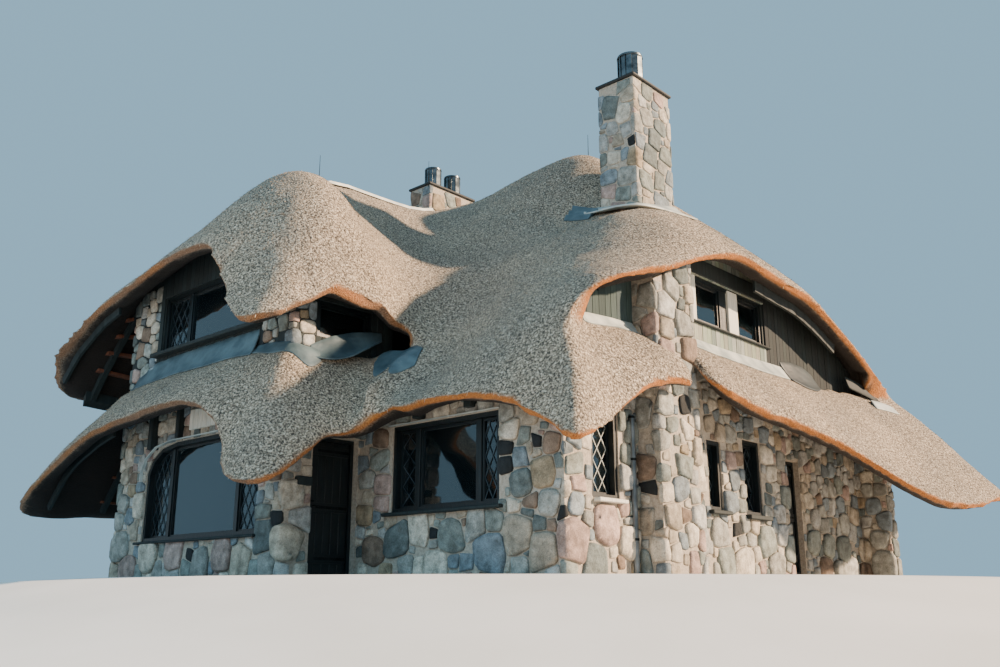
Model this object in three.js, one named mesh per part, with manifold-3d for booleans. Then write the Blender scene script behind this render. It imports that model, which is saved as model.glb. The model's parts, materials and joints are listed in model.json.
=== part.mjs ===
// Thatched cottage with stone walls, a boarded upper storey and a flowing thatch with eye-shaped openings.
// Millimetres. X runs along the front to the right, Y goes back into the house, Z is up.
// The working origin is the front right corner of the stone walls at ground level.

import * as THREE from 'three';
import { mergeVertices } from 'three/addons/utils/BufferGeometryUtils.js';
import Module from 'manifold-3d';

// Place of the finished part's origin, seen from the working origin
const ORIGIN = { x: -4600, y: 5000 };

const wasm = await Module();
wasm.setup();

// Clearance between pieces that touch or rest on each other
const GAP = 0.3;

// Height above everything, for bodies that only cut
const SKY = 14000;

// Stone walls of the lower storey
const STONE = 350;
const WALL_TOP = 3500;
const FRONT_Y = 0;
const WING_Y = -1400;
const WING_RIGHT_X = -4150;
const RETURN_END_Y = 600;
const LEFT_X = -9300;
const BACK_Y = 11000;
const SETBACK_X = -600;
const SETBACK_Y = 6200;

// Boarded upper storey and floors
const BOARDS = 200;
const FLOOR_TOP = 60;
const UPPER_FLOOR_TOP = 3150;
const UPPER_FLOOR = 200;

// Thatch
const THATCH = 320;
const RIDGE_Y = 5200;
const RIDGE_Z = 8700;
const RIDGE_RIGHT_X = -3400;
const WING_RIDGE_X = -7000;
const WING_RIDGE_Y = 1000;
const WING_RIDGE_Z = 8150;
const HIP_RISE = 400;
const RIDGE_ROUNDING = 900;
const VALLEY_ROUNDING = 1500;
const GRID = 420;
const ACROSS = 5;

// Slopes as rise over run
const FRONT_SLOPE = 1.05;
const BACK_SLOPE = 0.9;
const RIGHT_SLOPE = 0.88;
const WING_LEFT_SLOPE = 1.01;
const WING_RIGHT_SLOPE = 1.05;
const WING_FRONT_SLOPE = 0.9;

const COLOURS = {
  stone: 0xb5a694,
  boards: 0x8b9a94,
  timber: 0x2d3a3c,
  thatch: 0x9a8b7a,
  lead: 0x7c8d90,
  glass: 0x6f8f99,
  door: 0x24373a,
  metal: 0x2b2f31,
  floor: 0x8d7a63,
};

const group = new THREE.Group();
group.name = 'thatched_cottage';

// Turns a closed geometry into a solid for joining and cutting
function solidOf(geometry) {
  const bare = geometry.clone();
  bare.deleteAttribute('normal');
  bare.deleteAttribute('uv');
  const merged = mergeVertices(bare, 0.001);
  return new wasm.Manifold(new wasm.Mesh({
    numProp: 3,
    vertProperties: new Float32Array(merged.attributes.position.array),
    triVerts: new Uint32Array(merged.index.array),
  }));
}

// Turns a solid back into a geometry, keeping its largest body
function geometryOf(solid) {
  let largest = solid;
  for (const piece of solid.decompose()) {
    if (largest === solid || piece.volume() > largest.volume()) largest = piece;
  }
  const mesh = largest.getMesh();
  const geometry = new THREE.BufferGeometry();
  geometry.setAttribute('position', new THREE.BufferAttribute(new Float32Array(mesh.vertProperties), 3));
  geometry.setIndex(new THREE.BufferAttribute(new Uint32Array(mesh.triVerts), 1));
  return geometry;
}

function material(kind) {
  const metal = kind === 'metal' || kind === 'lead';
  return new THREE.MeshStandardMaterial({
    color: COLOURS[kind],
    roughness: kind === 'glass' ? 0.1 : 0.85,
    metalness: metal ? 0.6 : 0,
  });
}

function add(name, kind, geometry) {
  const mesh = new THREE.Mesh(geometry, material(kind));
  mesh.name = name;
  group.add(mesh);
  return mesh;
}

// Box between two corners
function block(low, high) {
  const size = high.map((value, axis) => value - low[axis]);
  const geometry = new THREE.BoxGeometry(...size);
  return geometry.translate(...low.map((value, axis) => value + size[axis] / 2));
}

// Polygon in plan, from one height to another
function slab(points, bottom, top) {
  const shape = new THREE.Shape(points.map(([x, y]) => new THREE.Vector2(x, y)));
  const geometry = new THREE.ExtrudeGeometry(shape, { depth: top - bottom, bevelEnabled: false });
  return geometry.translate(0, 0, bottom);
}

// Upright panel along X or Y from its outer face inwards, its outline given as a list of [along, height]
function panel(axis, face, inward, thickness, outline) {
  const shape = new THREE.Shape(outline.map(([a, z]) => new THREE.Vector2(a, z)));
  const geometry = new THREE.ExtrudeGeometry(shape, { depth: thickness, bevelEnabled: false });
  // The shape's own axes become the wall's length and height, and its depth the wall's thickness
  const flat = geometry.attributes.position;
  const mirrored = (axis === 'x') === (inward > 0);
  const positions = [];
  for (let t = 0; t < flat.count; t += 3) {
    for (const corner of mirrored ? [0, 2, 1] : [0, 1, 2]) {
      const along = flat.getX(t + corner);
      const across = face + inward * flat.getZ(t + corner);
      const height = flat.getY(t + corner);
      positions.push(...(axis === 'x' ? [along, across, height] : [across, along, height]));
    }
  }
  const placed = new THREE.BufferGeometry();
  placed.setAttribute('position', new THREE.Float32BufferAttribute(positions, 3));
  return mergeVertices(placed, 0.001);
}

// Panel with holes cut right through it, as a solid
function pierced(axis, face, inward, thickness, outline, holes) {
  const spare = 20;
  let solid = solidOf(panel(axis, face, inward, thickness, outline));
  for (const hole of holes) {
    solid = solid.subtract(solidOf(panel(axis, face - inward * spare, inward, thickness + 2 * spare, hole)));
  }
  return solid;
}

const rectangle = (a0, a1, z0, z1) => [[a0, z0], [a1, z0], [a1, z1], [a0, z1]];

// Smooth minimum and maximum of two heights, blended over a width
function smoothMin(a, b, width) {
  const h = Math.max(width - Math.abs(a - b), 0) / width;
  return Math.min(a, b) - h * h * width / 4;
}

const smoothMax = (a, b, width) => -smoothMin(-a, -b, width);

// Roof planes, joined with rounded ridges and valleys
function planes(x, y) {
  const front = RIDGE_Z - FRONT_SLOPE * (RIDGE_Y - y);
  const back = RIDGE_Z - BACK_SLOPE * (y - RIDGE_Y);
  const right = RIDGE_Z - RIGHT_SLOPE * (x - RIDGE_RIGHT_X);
  const left = WING_RIDGE_Z + WING_LEFT_SLOPE * (x - WING_RIDGE_X);
  const gable = smoothMin(smoothMin(front, back, RIDGE_ROUNDING), right, RIDGE_ROUNDING);
  const main = smoothMin(gable, left + HIP_RISE, RIDGE_ROUNDING);
  const wingRight = WING_RIDGE_Z - WING_RIGHT_SLOPE * (x - WING_RIDGE_X);
  const wingFront = WING_RIDGE_Z - WING_FRONT_SLOPE * (WING_RIDGE_Y - y);
  const wingSides = smoothMin(left, wingRight, RIDGE_ROUNDING);
  const wing = smoothMin(smoothMin(wingSides, wingFront, RIDGE_ROUNDING), back, RIDGE_ROUNDING);
  return smoothMax(main, wing, VALLEY_ROUNDING);
}

// Heights that the thatch's top passes through, mostly along its edges: [x, y, z]
const ROOF_POINTS = [
  // Front edge over the wing's upper window
  [-11300, -2200, 3760], [-11130, -2200, 4140], [-10380, -2200, 4510], [-9510, -2200, 4900],
  [-8290, -2250, 5070], [-7000, -2300, 5250], [-6250, -2300, 5290], [-5670, -2300, 5240],
  [-5310, -2300, 5120], [-5080, -2300, 4960], [-4850, -2320, 4690], [-4670, -2340, 4360],
  [-4510, -2360, 4060], [-4300, -2400, 3780], [-4000, -2450, 3570],
  // Edge over the dark opening beside the front door
  [-3450, -2450, 3450], [-3400, -2100, 3700], [-3400, -1700, 4000], [-3400, -1320, 4260],
  [-3400, -1110, 4350], [-3400, -790, 4330], [-3400, -420, 4250], [-3400, -70, 4120],
  [-3380, 300, 3830], [-3150, 400, 3640],
  // Front eave of the right part
  [-3150, -850, 2210], [-2550, -800, 2320], [-1730, -800, 2400], [-960, -800, 2350],
  [-330, -820, 2220], [140, -850, 1970], [550, -900, 1690], [1000, -1000, 1530],
  // Long eye-shaped edge on the right-hand side
  [250, -190, 3520], [500, -50, 3750], [700, 310, 3920], [800, 830, 4130], [800, 1540, 4350],
  [800, 2130, 4600], [800, 2750, 4840], [800, 3640, 5080], [800, 4850, 4990], [800, 6290, 4880],
  [750, 7500, 4560], [700, 8600, 4190], [600, 9600, 3860], [600, 10300, 3620],
  [-300, 500, 4150], [-300, 1300, 4700],
  // Main ridge, which rises towards the right-hand chimney, and the foot of that chimney
  [-6500, 5200, 8530], [-5900, 5200, 8640], [-5300, 5200, 8740], [-4700, 5200, 8830], [-4100, 5200, 8890],
  [-3550, 5200, 8870], [-3200, 5200, 8680],
  [-2350, 3850, 6680], [-1800, 3750, 6560], [-1200, 3750, 6420], [-1250, 4600, 6740],
  // Sweep of the far right corner
  [1450, 10300, 2700], [2300, 10300, 1550], [2250, 11000, 1620], [2000, 11600, 1700],
  [1500, 12100, 1850], [700, 12400, 2050],
  // Back and left eaves
  [-3000, 12550, 2200], [-9000, 12500, 2250], [-10700, 12150, 2250], [-11250, 11300, 2700],
  [-11350, 9500, 3500], [-11350, 7000, 3800], [-11350, 3000, 3800], [-11350, 0, 3780],
];

// Places inside the roof where it keeps the height of its planes
const KEEP_POINTS = [
  [-2000, 5500], [-7000, 1000], [-7000, 2600], [-7000, 4200], [-5600, 1000], [-4500, 2200], [-3000, 2200],
  [-1500, 2200], [-8800, 1000], [-9800, 3500], [-8800, 6500], [-6500, 8500], [-3000, 8500], [-9500, 9500],
  [-1000, 7500], [-600, 3500], [-6800, -600], [-8600, -600], [-2000, 700], [-500, 9300],
];

// Thin plate: bends least between the points that it passes through
const plate = (distance) => (distance > 0 ? (distance / 1000) ** 2 * Math.log(distance / 1000) : 0);
const plane = (x, y) => [1, x / 1000, y / 1000];

// Solves a square set of equations, each row ending with its right-hand side
function solve(rows) {
  const n = rows.length;
  for (let i = 0; i < n; i += 1) {
    let best = i;
    for (let j = i + 1; j < n; j += 1) {
      if (Math.abs(rows[j][i]) > Math.abs(rows[best][i])) best = j;
    }
    [rows[i], rows[best]] = [rows[best], rows[i]];
    for (let j = i + 1; j < n; j += 1) {
      const factor = rows[j][i] / rows[i][i];
      for (let k = i; k <= n; k += 1) rows[j][k] -= factor * rows[i][k];
    }
  }
  const values = new Array(n).fill(0);
  for (let i = n - 1; i >= 0; i -= 1) {
    let value = rows[i][n];
    for (let k = i + 1; k < n; k += 1) value -= rows[i][k] * values[k];
    values[i] = value / rows[i][i];
  }
  return values;
}

const PLATE_EASE = 0.03;
const plateCentres = [...ROOF_POINTS, ...KEEP_POINTS];

function solvePlate() {
  const rows = plateCentres.map(([x, y, z], i) => {
    const row = plateCentres.map(([px, py]) => plate(Math.hypot(x - px, y - py)));
    row[i] += PLATE_EASE;
    return [...row, ...plane(x, y), z === undefined ? 0 : z - planes(x, y)];
  });
  for (let term = 0; term < 3; term += 1) {
    rows.push([...plateCentres.map(([x, y]) => plane(x, y)[term]), 0, 0, 0, 0]);
  }
  return solve(rows);
}

const plateWeights = solvePlate();

// Height of the top of the main thatch
function roofTop(x, y) {
  const n = plateCentres.length;
  let z = planes(x, y);
  plateCentres.forEach(([px, py], i) => {
    z += plateWeights[i] * plate(Math.hypot(x - px, y - py));
  });
  plane(x, y).forEach((value, term) => {
    z += plateWeights[n + term] * value;
  });
  return z;
}

function roofNormal(x, y) {
  const step = 60;
  const dx = (roofTop(x + step, y) - roofTop(x - step, y)) / (2 * step);
  const dy = (roofTop(x, y + step) - roofTop(x, y - step)) / (2 * step);
  return new THREE.Vector3(-dx, -dy, 1).normalize();
}

// Closed body between two grids of points with the same layout
function layered(columns, rows, lower, upper) {
  const positions = [];
  const index = [];
  const count = columns * rows;
  for (const layer of [lower, upper]) {
    for (let j = 0; j < rows; j += 1) {
      for (let i = 0; i < columns; i += 1) positions.push(...layer(i, j));
    }
  }
  const at = (i, j, layer) => layer * count + j * columns + i;
  for (let j = 0; j < rows - 1; j += 1) {
    for (let i = 0; i < columns - 1; i += 1) {
      index.push(at(i, j, 1), at(i + 1, j, 1), at(i + 1, j + 1, 1));
      index.push(at(i, j, 1), at(i + 1, j + 1, 1), at(i, j + 1, 1));
      index.push(at(i, j, 0), at(i + 1, j + 1, 0), at(i + 1, j, 0));
      index.push(at(i, j, 0), at(i, j + 1, 0), at(i + 1, j + 1, 0));
    }
  }
  const rim = [];
  for (let i = 0; i < columns - 1; i += 1) rim.push([i, 0]);
  for (let j = 0; j < rows - 1; j += 1) rim.push([columns - 1, j]);
  for (let i = columns - 1; i > 0; i -= 1) rim.push([i, rows - 1]);
  for (let j = rows - 1; j > 0; j -= 1) rim.push([0, j]);
  rim.forEach(([i, j], k) => {
    const [i2, j2] = rim[(k + 1) % rim.length];
    index.push(at(i, j, 0), at(i2, j2, 0), at(i2, j2, 1));
    index.push(at(i, j, 0), at(i2, j2, 1), at(i, j, 1));
  });
  const geometry = new THREE.BufferGeometry();
  geometry.setAttribute('position', new THREE.Float32BufferAttribute(positions, 3));
  geometry.setIndex(index);
  return geometry;
}

const FIELD = { x0: -12180, y0: -3100, columns: 37, rows: 40 };
const gridX = (i) => FIELD.x0 + i * GRID;
const gridY = (j) => FIELD.y0 + j * GRID;

function surfacePoint(i, j, depth) {
  const x = gridX(i);
  const y = gridY(j);
  const n = roofNormal(x, y);
  return [x - n.x * depth, y - n.y * depth, roofTop(x, y) - n.z * depth];
}

// The whole thatch before its edges are cut
function thatchSheet(grow) {
  return solidOf(layered(
    FIELD.columns,
    FIELD.rows,
    (i, j) => surfacePoint(i, j, THATCH + grow),
    (i, j) => surfacePoint(i, j, -grow),
  ));
}

// Everything above the underside of the thatch, which trims the tops of the walls
function aboveThatch() {
  const under = (i, j) => surfacePoint(i, j, THATCH);
  return solidOf(layered(
    FIELD.columns,
    FIELD.rows,
    (i, j) => [under(i, j)[0], under(i, j)[1], under(i, j)[2] - 2 * GAP],
    (i, j) => [under(i, j)[0], under(i, j)[1], SKY],
  ));
}

// Runs of the roof's edge in plan, anticlockwise. Where a run ends at a skirt, lean says which way the cut
// leans there and away points to the side that is kept clear.
const EDGE_RUNS = [
  { steps: 42,
    points: [[-11440, -1200], [-11420, -1720], [-11230, -2120], [-10850, -2300], [-10200, -2280],
      [-9000, -2250], [-7000, -2300], [-5500, -2320], [-4500, -2400], [-3950, -2430], [-3500, -2200],
      [-3380, -1700], [-3415, -800], [-3405, -100], [-3380, 250]] },
  { steps: 0, points: [[-3150, 400]], start: { lean: [0, 0], away: [-1, -1] } },
  { steps: 10,
    points: [[-3150, -850], [-2500, -800], [-1700, -800], [-600, -820], [300, -880], [1000, -1000]],
    start: { lean: [0, -1], away: [-1, -1] },
    end: { lean: [0.95, -1.02], away: [1, -0.3] } },
  { steps: 34,
    points: [[250, -190], [500, -50], [700, 310], [790, 830], [815, 2100], [825, 3600], [815, 5500],
      [780, 7000], [720, 8600], [620, 9700], [600, 10300]],
    start: { lean: [0, 0], away: [1, -0.15] },
    end: { lean: [0, 0], away: [0.3, -1] } },
  { steps: 44,
    points: [[2300, 10300], [2250, 11000], [2000, 11600], [1500, 12150], [700, 12420], [-500, 12520],
      [-3000, 12570], [-6000, 12580], [-9000, 12500], [-10400, 12300], [-11100, 11800], [-11350, 11000],
      [-11390, 9000], [-11420, 5000], [-11420, 1000]],
    start: { lean: [1, 0], away: [0.3, -1] } },
];

function edgeVertices() {
  const vertices = [];
  for (const run of EDGE_RUNS) {
    if (run.steps === 0) {
      vertices.push({ at: run.points[0], ...run.start });
      continue;
    }
    const curve = new THREE.CatmullRomCurve3(run.points.map(([x, y]) => new THREE.Vector3(x, y, 0)), false,
      'centripetal');
    for (let s = 0; s <= run.steps; s += 1) {
      const p = curve.getPointAt(s / run.steps);
      const d = curve.getTangentAt(s / run.steps);
      const fixed = (s === 0 && run.start) || (s === run.steps && run.end);
      vertices.push({ at: [p.x, p.y], ...(fixed || { lean: [d.y, -d.x], away: [d.y, -d.x] }) });
    }
  }
  return vertices;
}

// Height over and under the thatch's top between which its cut edge leans, and the depth below all of it
const CUT_ABOVE = 120;
const CUT_BELOW = 280;
const DEEP = -3000;

// Tall cutter whose side leans inwards at the eaves, so that they are cut square to the slope
function edgeCutter(grow) {
  const vertices = edgeVertices();
  const rings = [
    { z: () => SKY, out: CUT_ABOVE },
    { z: (v) => roofTop(...v.at) + CUT_ABOVE, out: CUT_ABOVE },
    { z: (v) => roofTop(...v.at) - CUT_BELOW, out: -CUT_BELOW },
    { z: () => DEEP, out: -CUT_BELOW },
  ];
  const place = (v, out) => v.at.map((value, k) => value + v.lean[k] * out + v.away[k] * grow);
  const positions = [];
  for (const ring of rings) {
    for (const v of vertices) {
      positions.push(...place(v, ring.out), ring.z(v));
    }
  }
  const n = vertices.length;
  const index = [];
  for (let r = 0; r < rings.length - 1; r += 1) {
    for (let k = 0; k < n; k += 1) {
      const a = r * n + k;
      const b = r * n + (k + 1) % n;
      index.push(a, a + n, b, b, a + n, b + n);
    }
  }
  const cap = (ring) => THREE.ShapeUtils.triangulateShape(
    vertices.map((v) => new THREE.Vector2(...place(v, ring.out))),
    [],
  );
  for (const [a, b, c] of cap(rings[0])) index.push(a, b, c);
  const base = (rings.length - 1) * n;
  for (const [a, b, c] of cap(rings[rings.length - 1])) index.push(base + a, base + c, base + b);
  const geometry = new THREE.BufferGeometry();
  geometry.setAttribute('position', new THREE.Float32BufferAttribute(positions, 3));
  geometry.setIndex(index);
  return solidOf(geometry);
}

const mainThatch = thatchSheet(0).intersect(edgeCutter(0));
const CLEAR = 6;
const mainThatchGrown = thatchSheet(CLEAR).intersect(edgeCutter(CLEAR));
const overhead = aboveThatch();

// Share of a skirt's fall over which its end on the wall turns square to its slope
const TURN = 0.4;

// Stretch of a skirt between a line on the wall and an eave. Each station is [wall point, eave point].
// The options give the samples and the share of the fall that it covers, its two faces above the thatch, and
// how far it is moved to the right and back.
function band(skirt, options = {}) {
  const { stations, samples, bulge } = skirt;
  const { from = 0, to = samples, across = ACROSS, low = -THATCH, high = 0, shift = 0 } = options;
  const ends = stations.map(([, eave]) => new THREE.Vector3(...eave));
  const eaves = new THREE.CatmullRomCurve3(ends, false, 'centripetal');
  const positions = [];
  const sections = to - from;
  for (let s = from; s <= to; s += 1) {
    const u = s / samples * (stations.length - 1);
    const k = Math.min(Math.floor(u), stations.length - 2);
    const top = new THREE.Vector3(...stations[k][0]).lerp(new THREE.Vector3(...stations[k + 1][0]), u - k);
    const fall = eaves.getPoint(s / samples).sub(top);
    const run = Math.hypot(fall.x, fall.y);
    const normal = new THREE.Vector3(-fall.x / run * fall.z, -fall.y / run * fall.z, run).normalize();
    const faces = [low, high].map((height) => {
      const line = [];
      for (let i = 0; i <= across; i += 1) {
        const v = i / ACROSS;
        const lean = Math.min(v / TURN, 1);
        const upright = lean * normal.z + (1 - lean) / normal.z;
        const p = top.clone().addScaledVector(fall, v).addScaledVector(normal, bulge * 4 * v * (1 - v));
        p.add(new THREE.Vector3(normal.x * lean, normal.y * lean, upright).multiplyScalar(height));
        line.push(p.x + shift, p.y + shift, p.z);
      }
      return line;
    });
    const inner = [];
    for (let i = across; i >= 0; i -= 1) inner.push(...faces[0].slice(3 * i, 3 * i + 3));
    positions.push(...faces[1], ...inner);
  }
  const n = 2 * (across + 1);
  const index = [];
  for (let s = 0; s < sections; s += 1) {
    for (let k = 0; k < n; k += 1) {
      const a = s * n + k;
      const b = s * n + (k + 1) % n;
      index.push(a, b, b + n, a, b + n, a + n);
    }
  }
  const last = sections * n;
  for (let i = 0; i < across; i += 1) {
    const j = n - 1 - i;
    index.push(i, j, j - 1, i, j - 1, i + 1);
    index.push(last + i, last + j - 1, last + j, last + i, last + i + 1, last + j - 1);
  }
  const geometry = new THREE.BufferGeometry();
  geometry.setAttribute('position', new THREE.Float32BufferAttribute(positions, 3));
  geometry.setIndex(index);
  return solidOf(geometry);
}

const wall = (value, outward) => value + Math.sign(outward) * 2 * GAP;
const LX = wall(LEFT_X, -1);
const WY = wall(WING_Y, -1);
const RX = wall(WING_RIGHT_X, 1);
const EX = wall(0, 1);
const SKIRT_TOP = 3600;

const LEFT_SKIRT = { samples: 69, bulge: 60, stations: [
  [[LX, 9600, SKIRT_TOP], [-11400, 9700, 1700]],
  [[LX, 7000, SKIRT_TOP], [-11450, 7000, 1400]],
  [[LX, 3000, SKIRT_TOP], [-11450, 3000, 1340]],
  [[LX, 0, SKIRT_TOP], [-11480, -600, 1340]],
  [[LX, -900, SKIRT_TOP], [-11520, -1700, 1310]],
  [[LX, WY, SKIRT_TOP], [-11440, -2350, 1340]],
  [[-9100, WY, SKIRT_TOP], [-11000, -2430, 1650]],
  [[-8900, WY, SKIRT_TOP], [-10410, -2400, 1950]],
  [[-8600, WY, SKIRT_TOP], [-9610, -2400, 2250]],
  [[-8300, WY, SKIRT_TOP], [-8920, -2400, 2460]],
  [[-7500, WY, SKIRT_TOP], [-7670, -2400, 2600]],
  [[-6900, WY, SKIRT_TOP], [-6900, -2400, 2650]],
  [[-6160, WY, SKIRT_TOP], [-6160, -2400, 2690]],
  [[-5460, WY, SKIRT_TOP], [-5460, -2400, 2620]],
  [[-5000, WY, SKIRT_TOP], [-5000, -2400, 2440]],
  [[-4600, WY, SKIRT_TOP], [-4520, -2400, 2020]],
  [[-4350, WY, SKIRT_TOP], [-4270, -2450, 1500]],
  [[RX, WY, SKIRT_TOP], [-3900, -2550, 1280]],
  [[RX, -1300, 3580], [-3500, -2500, 1230]],
  [[RX, -1100, 3570], [-3250, -2300, 1280]],
  [[RX, -800, 3560], [-3200, -1950, 1520]],
  [[RX, -400, 3550], [-3200, -1500, 1900]],
  [[RX, 300, 3550], [-3160, -1120, 2100]],
  [[-3150 - GAP, 400, 3540], [-3150 - GAP, -850, 2210]],
] };

const CORNER_SKIRT = { samples: 32, bulge: 110, stations: [
  [[260, -200, 3480], [1000, -1000, 1520]],
  [[EX, 250, 3570], [980, -480, 1640]],
  [[EX, 600, 3570], [880, -60, 1780]],
  [[EX, 900, 3570], [810, 400, 2120]],
  [[EX, 1200, 3570], [800, 750, 2410]],
  [[60, 1500, 3560], [800, 1050, 2540]],
  [[250, 1750, 3480], [800, 1350, 2600]],
  [[430, 2000, 3280], [830, 1700, 2620]],
  [[450, 2300, 3080], [800, 1950, 2640]],
] };

const RIGHT_SKIRT = { samples: 42, bulge: 90, stations: [
  [[100, 2680, 3720], [420, 2580, 3330]],
  [[EX, 2800, 3690], [720, 2500, 2920]],
  [[EX, 3000, 3670], [930, 2620, 2700]],
  [[EX, 3400, 3660], [1000, 3000, 2590]],
  [[EX, 3900, 3660], [1020, 3600, 2470]],
  [[EX, 4600, 3660], [1100, 4400, 2400]],
  [[EX, 5300, 3660], [1200, 5000, 2300]],
  [[EX, 6000, 3660], [1350, 5700, 2150]],
  [[EX, 6700, 3660], [1550, 6300, 1920]],
  [[EX, 7400, 3680], [1750, 6800, 1680]],
  [[50, 8100, 3720], [1950, 7300, 1470]],
  [[150, 8800, 3740], [2080, 7950, 1340]],
  [[300, 9400, 3720], [2200, 8750, 1320]],
  [[450, 9900, 3680], [2280, 9600, 1400]],
  [[600, 10300 - GAP, 3620], [2300, 10300 - GAP, 1550]],
] };

// Height to which upright pieces run before the thatch trims them
const UPPER_TOP = 6500;

// Stone pier on the right-hand side, standing proud of the wall
const PIER = { out: 400, y0: 1650, y1: 2650 };

const grown = (low, high) => solidOf(block(low.map((v) => v - GAP), high.map((v) => v + GAP)));
const pierSpace = grown([-20, PIER.y0, 0], [PIER.out, PIER.y1, SKY]);

// Chimneys run from the ground floor up through both floors and the thatch
const CHIMNEY_RIGHT = { x0: -2200, x1: -1400, y0: 4000, y1: 5200, top: 9300,
  flues: [[-1720, 4400]], flueRadius: 200, flueHeight: 700 };
const CHIMNEY_LEFT = { x0: -8450, x1: -7800, y0: 4750, y1: 6200, top: 9250,
  flues: [[-8125, 5150], [-8125, 5800]], flueRadius: 170, flueHeight: 610 };
const CAP = { over: 90, thick: 90 };
const chimneySpace = (c) => grown([c.x0, c.y0, FLOOR_TOP], [c.x1, c.y1, SKY]);
const flueSpace = chimneySpace(CHIMNEY_RIGHT).add(chimneySpace(CHIMNEY_LEFT));

add('thatch_main', 'thatch', geometryOf(mainThatch.subtract(flueSpace)));
const taken = mainThatchGrown.add(pierSpace);
add('thatch_skirt_left', 'thatch', geometryOf(band(LEFT_SKIRT).subtract(mainThatchGrown)));
add('thatch_corner', 'thatch', geometryOf(band(CORNER_SKIRT).subtract(taken)));
add('thatch_skirt_right', 'thatch', geometryOf(band(RIGHT_SKIRT).subtract(taken)));

// Sheet that lies on the thatch, between two heights above it, inside an outline in plan
function layer(low, high, outline) {
  const sheet = solidOf(layered(
    FIELD.columns,
    FIELD.rows,
    (i, j) => surfacePoint(i, j, -low),
    (i, j) => surfacePoint(i, j, -high),
  ));
  return sheet.intersect(solidOf(slab(outline, 0, SKY)));
}

const box2d = (x0, x1, y0, y1) => [[x0, y0], [x1, y0], [x1, y1], [x0, y1]];

// Outline of a round flue with a louvred drum and a lid, as shares of its radius and height
const FLUE_PROFILE = [[0, -0.02], [0.85, -0.02], [0.85, 0.3], [1, 0.32], [1, 0.78], [0.75, 0.8], [0.75, 0.86],
  [0.95, 0.88], [0.95, 0.97], [0, 1]];

function addChimney(side, c) {
  add(`chimney_stack_${side}`, 'stone', block([c.x0, c.y0, FLOOR_TOP + GAP], [c.x1, c.y1, c.top]));
  const profile = FLUE_PROFILE.map(([r, z]) => new THREE.Vector2(r * c.flueRadius, z * c.flueHeight));
  let cap = solidOf(block(
    [c.x0 - CAP.over, c.y0 - CAP.over, c.top + GAP],
    [c.x1 + CAP.over, c.y1 + CAP.over, c.top + CAP.thick],
  ));
  for (const [x, y] of c.flues) {
    const flue = new THREE.LatheGeometry(profile, 20);
    flue.rotateX(Math.PI / 2);
    flue.translate(x, y, c.top + CAP.thick);
    cap = cap.add(solidOf(flue));
  }
  add(`chimney_cap_${side}`, 'metal', geometryOf(cap));
}

addChimney('right', CHIMNEY_RIGHT);
addChimney('left', CHIMNEY_LEFT);

// Lead saddle round the foot of the right chimney, and the cap of the wing's ridge
const SADDLE = { sides: 260, behind: 130, thick: 30 };
const RIDGE_CAP = { half: 240, y0: 500, y1: 3900, thick: 60 };
const saddle = layer(2 * GAP, SADDLE.thick, box2d(
  CHIMNEY_RIGHT.x0 - SADDLE.sides,
  CHIMNEY_RIGHT.x1 + SADDLE.sides,
  CHIMNEY_RIGHT.y0 - SADDLE.sides,
  CHIMNEY_RIGHT.y1 + SADDLE.behind,
));
add('chimney_saddle_right', 'lead', geometryOf(saddle.subtract(flueSpace)));
add('ridge_cap_wing', 'lead', geometryOf(layer(2 * GAP, RIDGE_CAP.thick,
  box2d(WING_RIDGE_X - RIDGE_CAP.half, WING_RIDGE_X + RIDGE_CAP.half, RIDGE_CAP.y0, RIDGE_CAP.y1))));

// Lead aprons where the skirts meet the walls under the upper windows
const LEAD = 22;
function apron(skirt, from, to) {
  const under = band(skirt, { high: 2 * GAP });
  const sheet = band(skirt, { from, to, across: 1, low: -THATCH / 4, high: LEAD });
  return geometryOf(sheet.subtract(under).subtract(pierSpace).subtract(mainThatchGrown));
}
add('apron_left', 'lead', apron(LEFT_SKIRT, 24, 63));
add('apron_corner', 'lead', apron(CORNER_SKIRT, 4, 18));
add('apron_right', 'lead', apron(RIGHT_SKIRT, 6, 27));

// Rafters under the left overhang of the upper thatch, tied by a plank along their ends
const RAFTER = { wide: 100, deep: 117, below: 3, outer: -11050, first: -1400, last: 10400, apart: 1180 };

function rafters() {
  const high = -THATCH - RAFTER.below;
  const low = high - RAFTER.deep;
  const { wide, outer, first, last } = RAFTER;
  let solid = layer(low, high, box2d(outer, outer + wide, first - wide, last + wide));
  for (let y = first; y <= last; y += RAFTER.apart) {
    solid = solid.add(layer(low, high, box2d(outer + wide / 2, LEFT_X - GAP, y, y + wide)));
  }
  return solid;
}
add('rafters_left', 'timber', geometryOf(rafters()));

// The left skirt's own space and what lies over it, which trims the front wall beside the front door
const OVER_SKIRT = 1500;
const overSkirt = (shift) => band(LEFT_SKIRT, { low: -THATCH - 2 * GAP, high: OVER_SKIRT, shift });
const aboveLeftSkirt = overSkirt(0).add(overSkirt(GAP)).add(overSkirt(2 * GAP));

// Windows: opening in the wall, and a unit set back in it, with panes thinner than the frame that holds them
const REVEAL = 110;
const FRAME_DEPTH = 80;
const FRAME_BAR = 70;
const PANE = 12;

function windowHole(w) {
  if (w.hole) return w.hole;
  return rectangle(w.a0, w.a1, w.z0, w.z1);
}

// Shrinks a rectangle or a rectangle with one cut corner towards its middle
function inset(points, amount) {
  const a = points.map((p) => p[0]);
  const z = points.map((p) => p[1]);
  const middleA = (Math.min(...a) + Math.max(...a)) / 2;
  const middleZ = (Math.min(...z) + Math.max(...z)) / 2;
  const scaleA = 1 - 2 * amount / (Math.max(...a) - Math.min(...a));
  const scaleZ = 1 - 2 * amount / (Math.max(...z) - Math.min(...z));
  return points.map(([pa, pz]) => [middleA + (pa - middleA) * scaleA, middleZ + (pz - middleZ) * scaleZ]);
}

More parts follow.
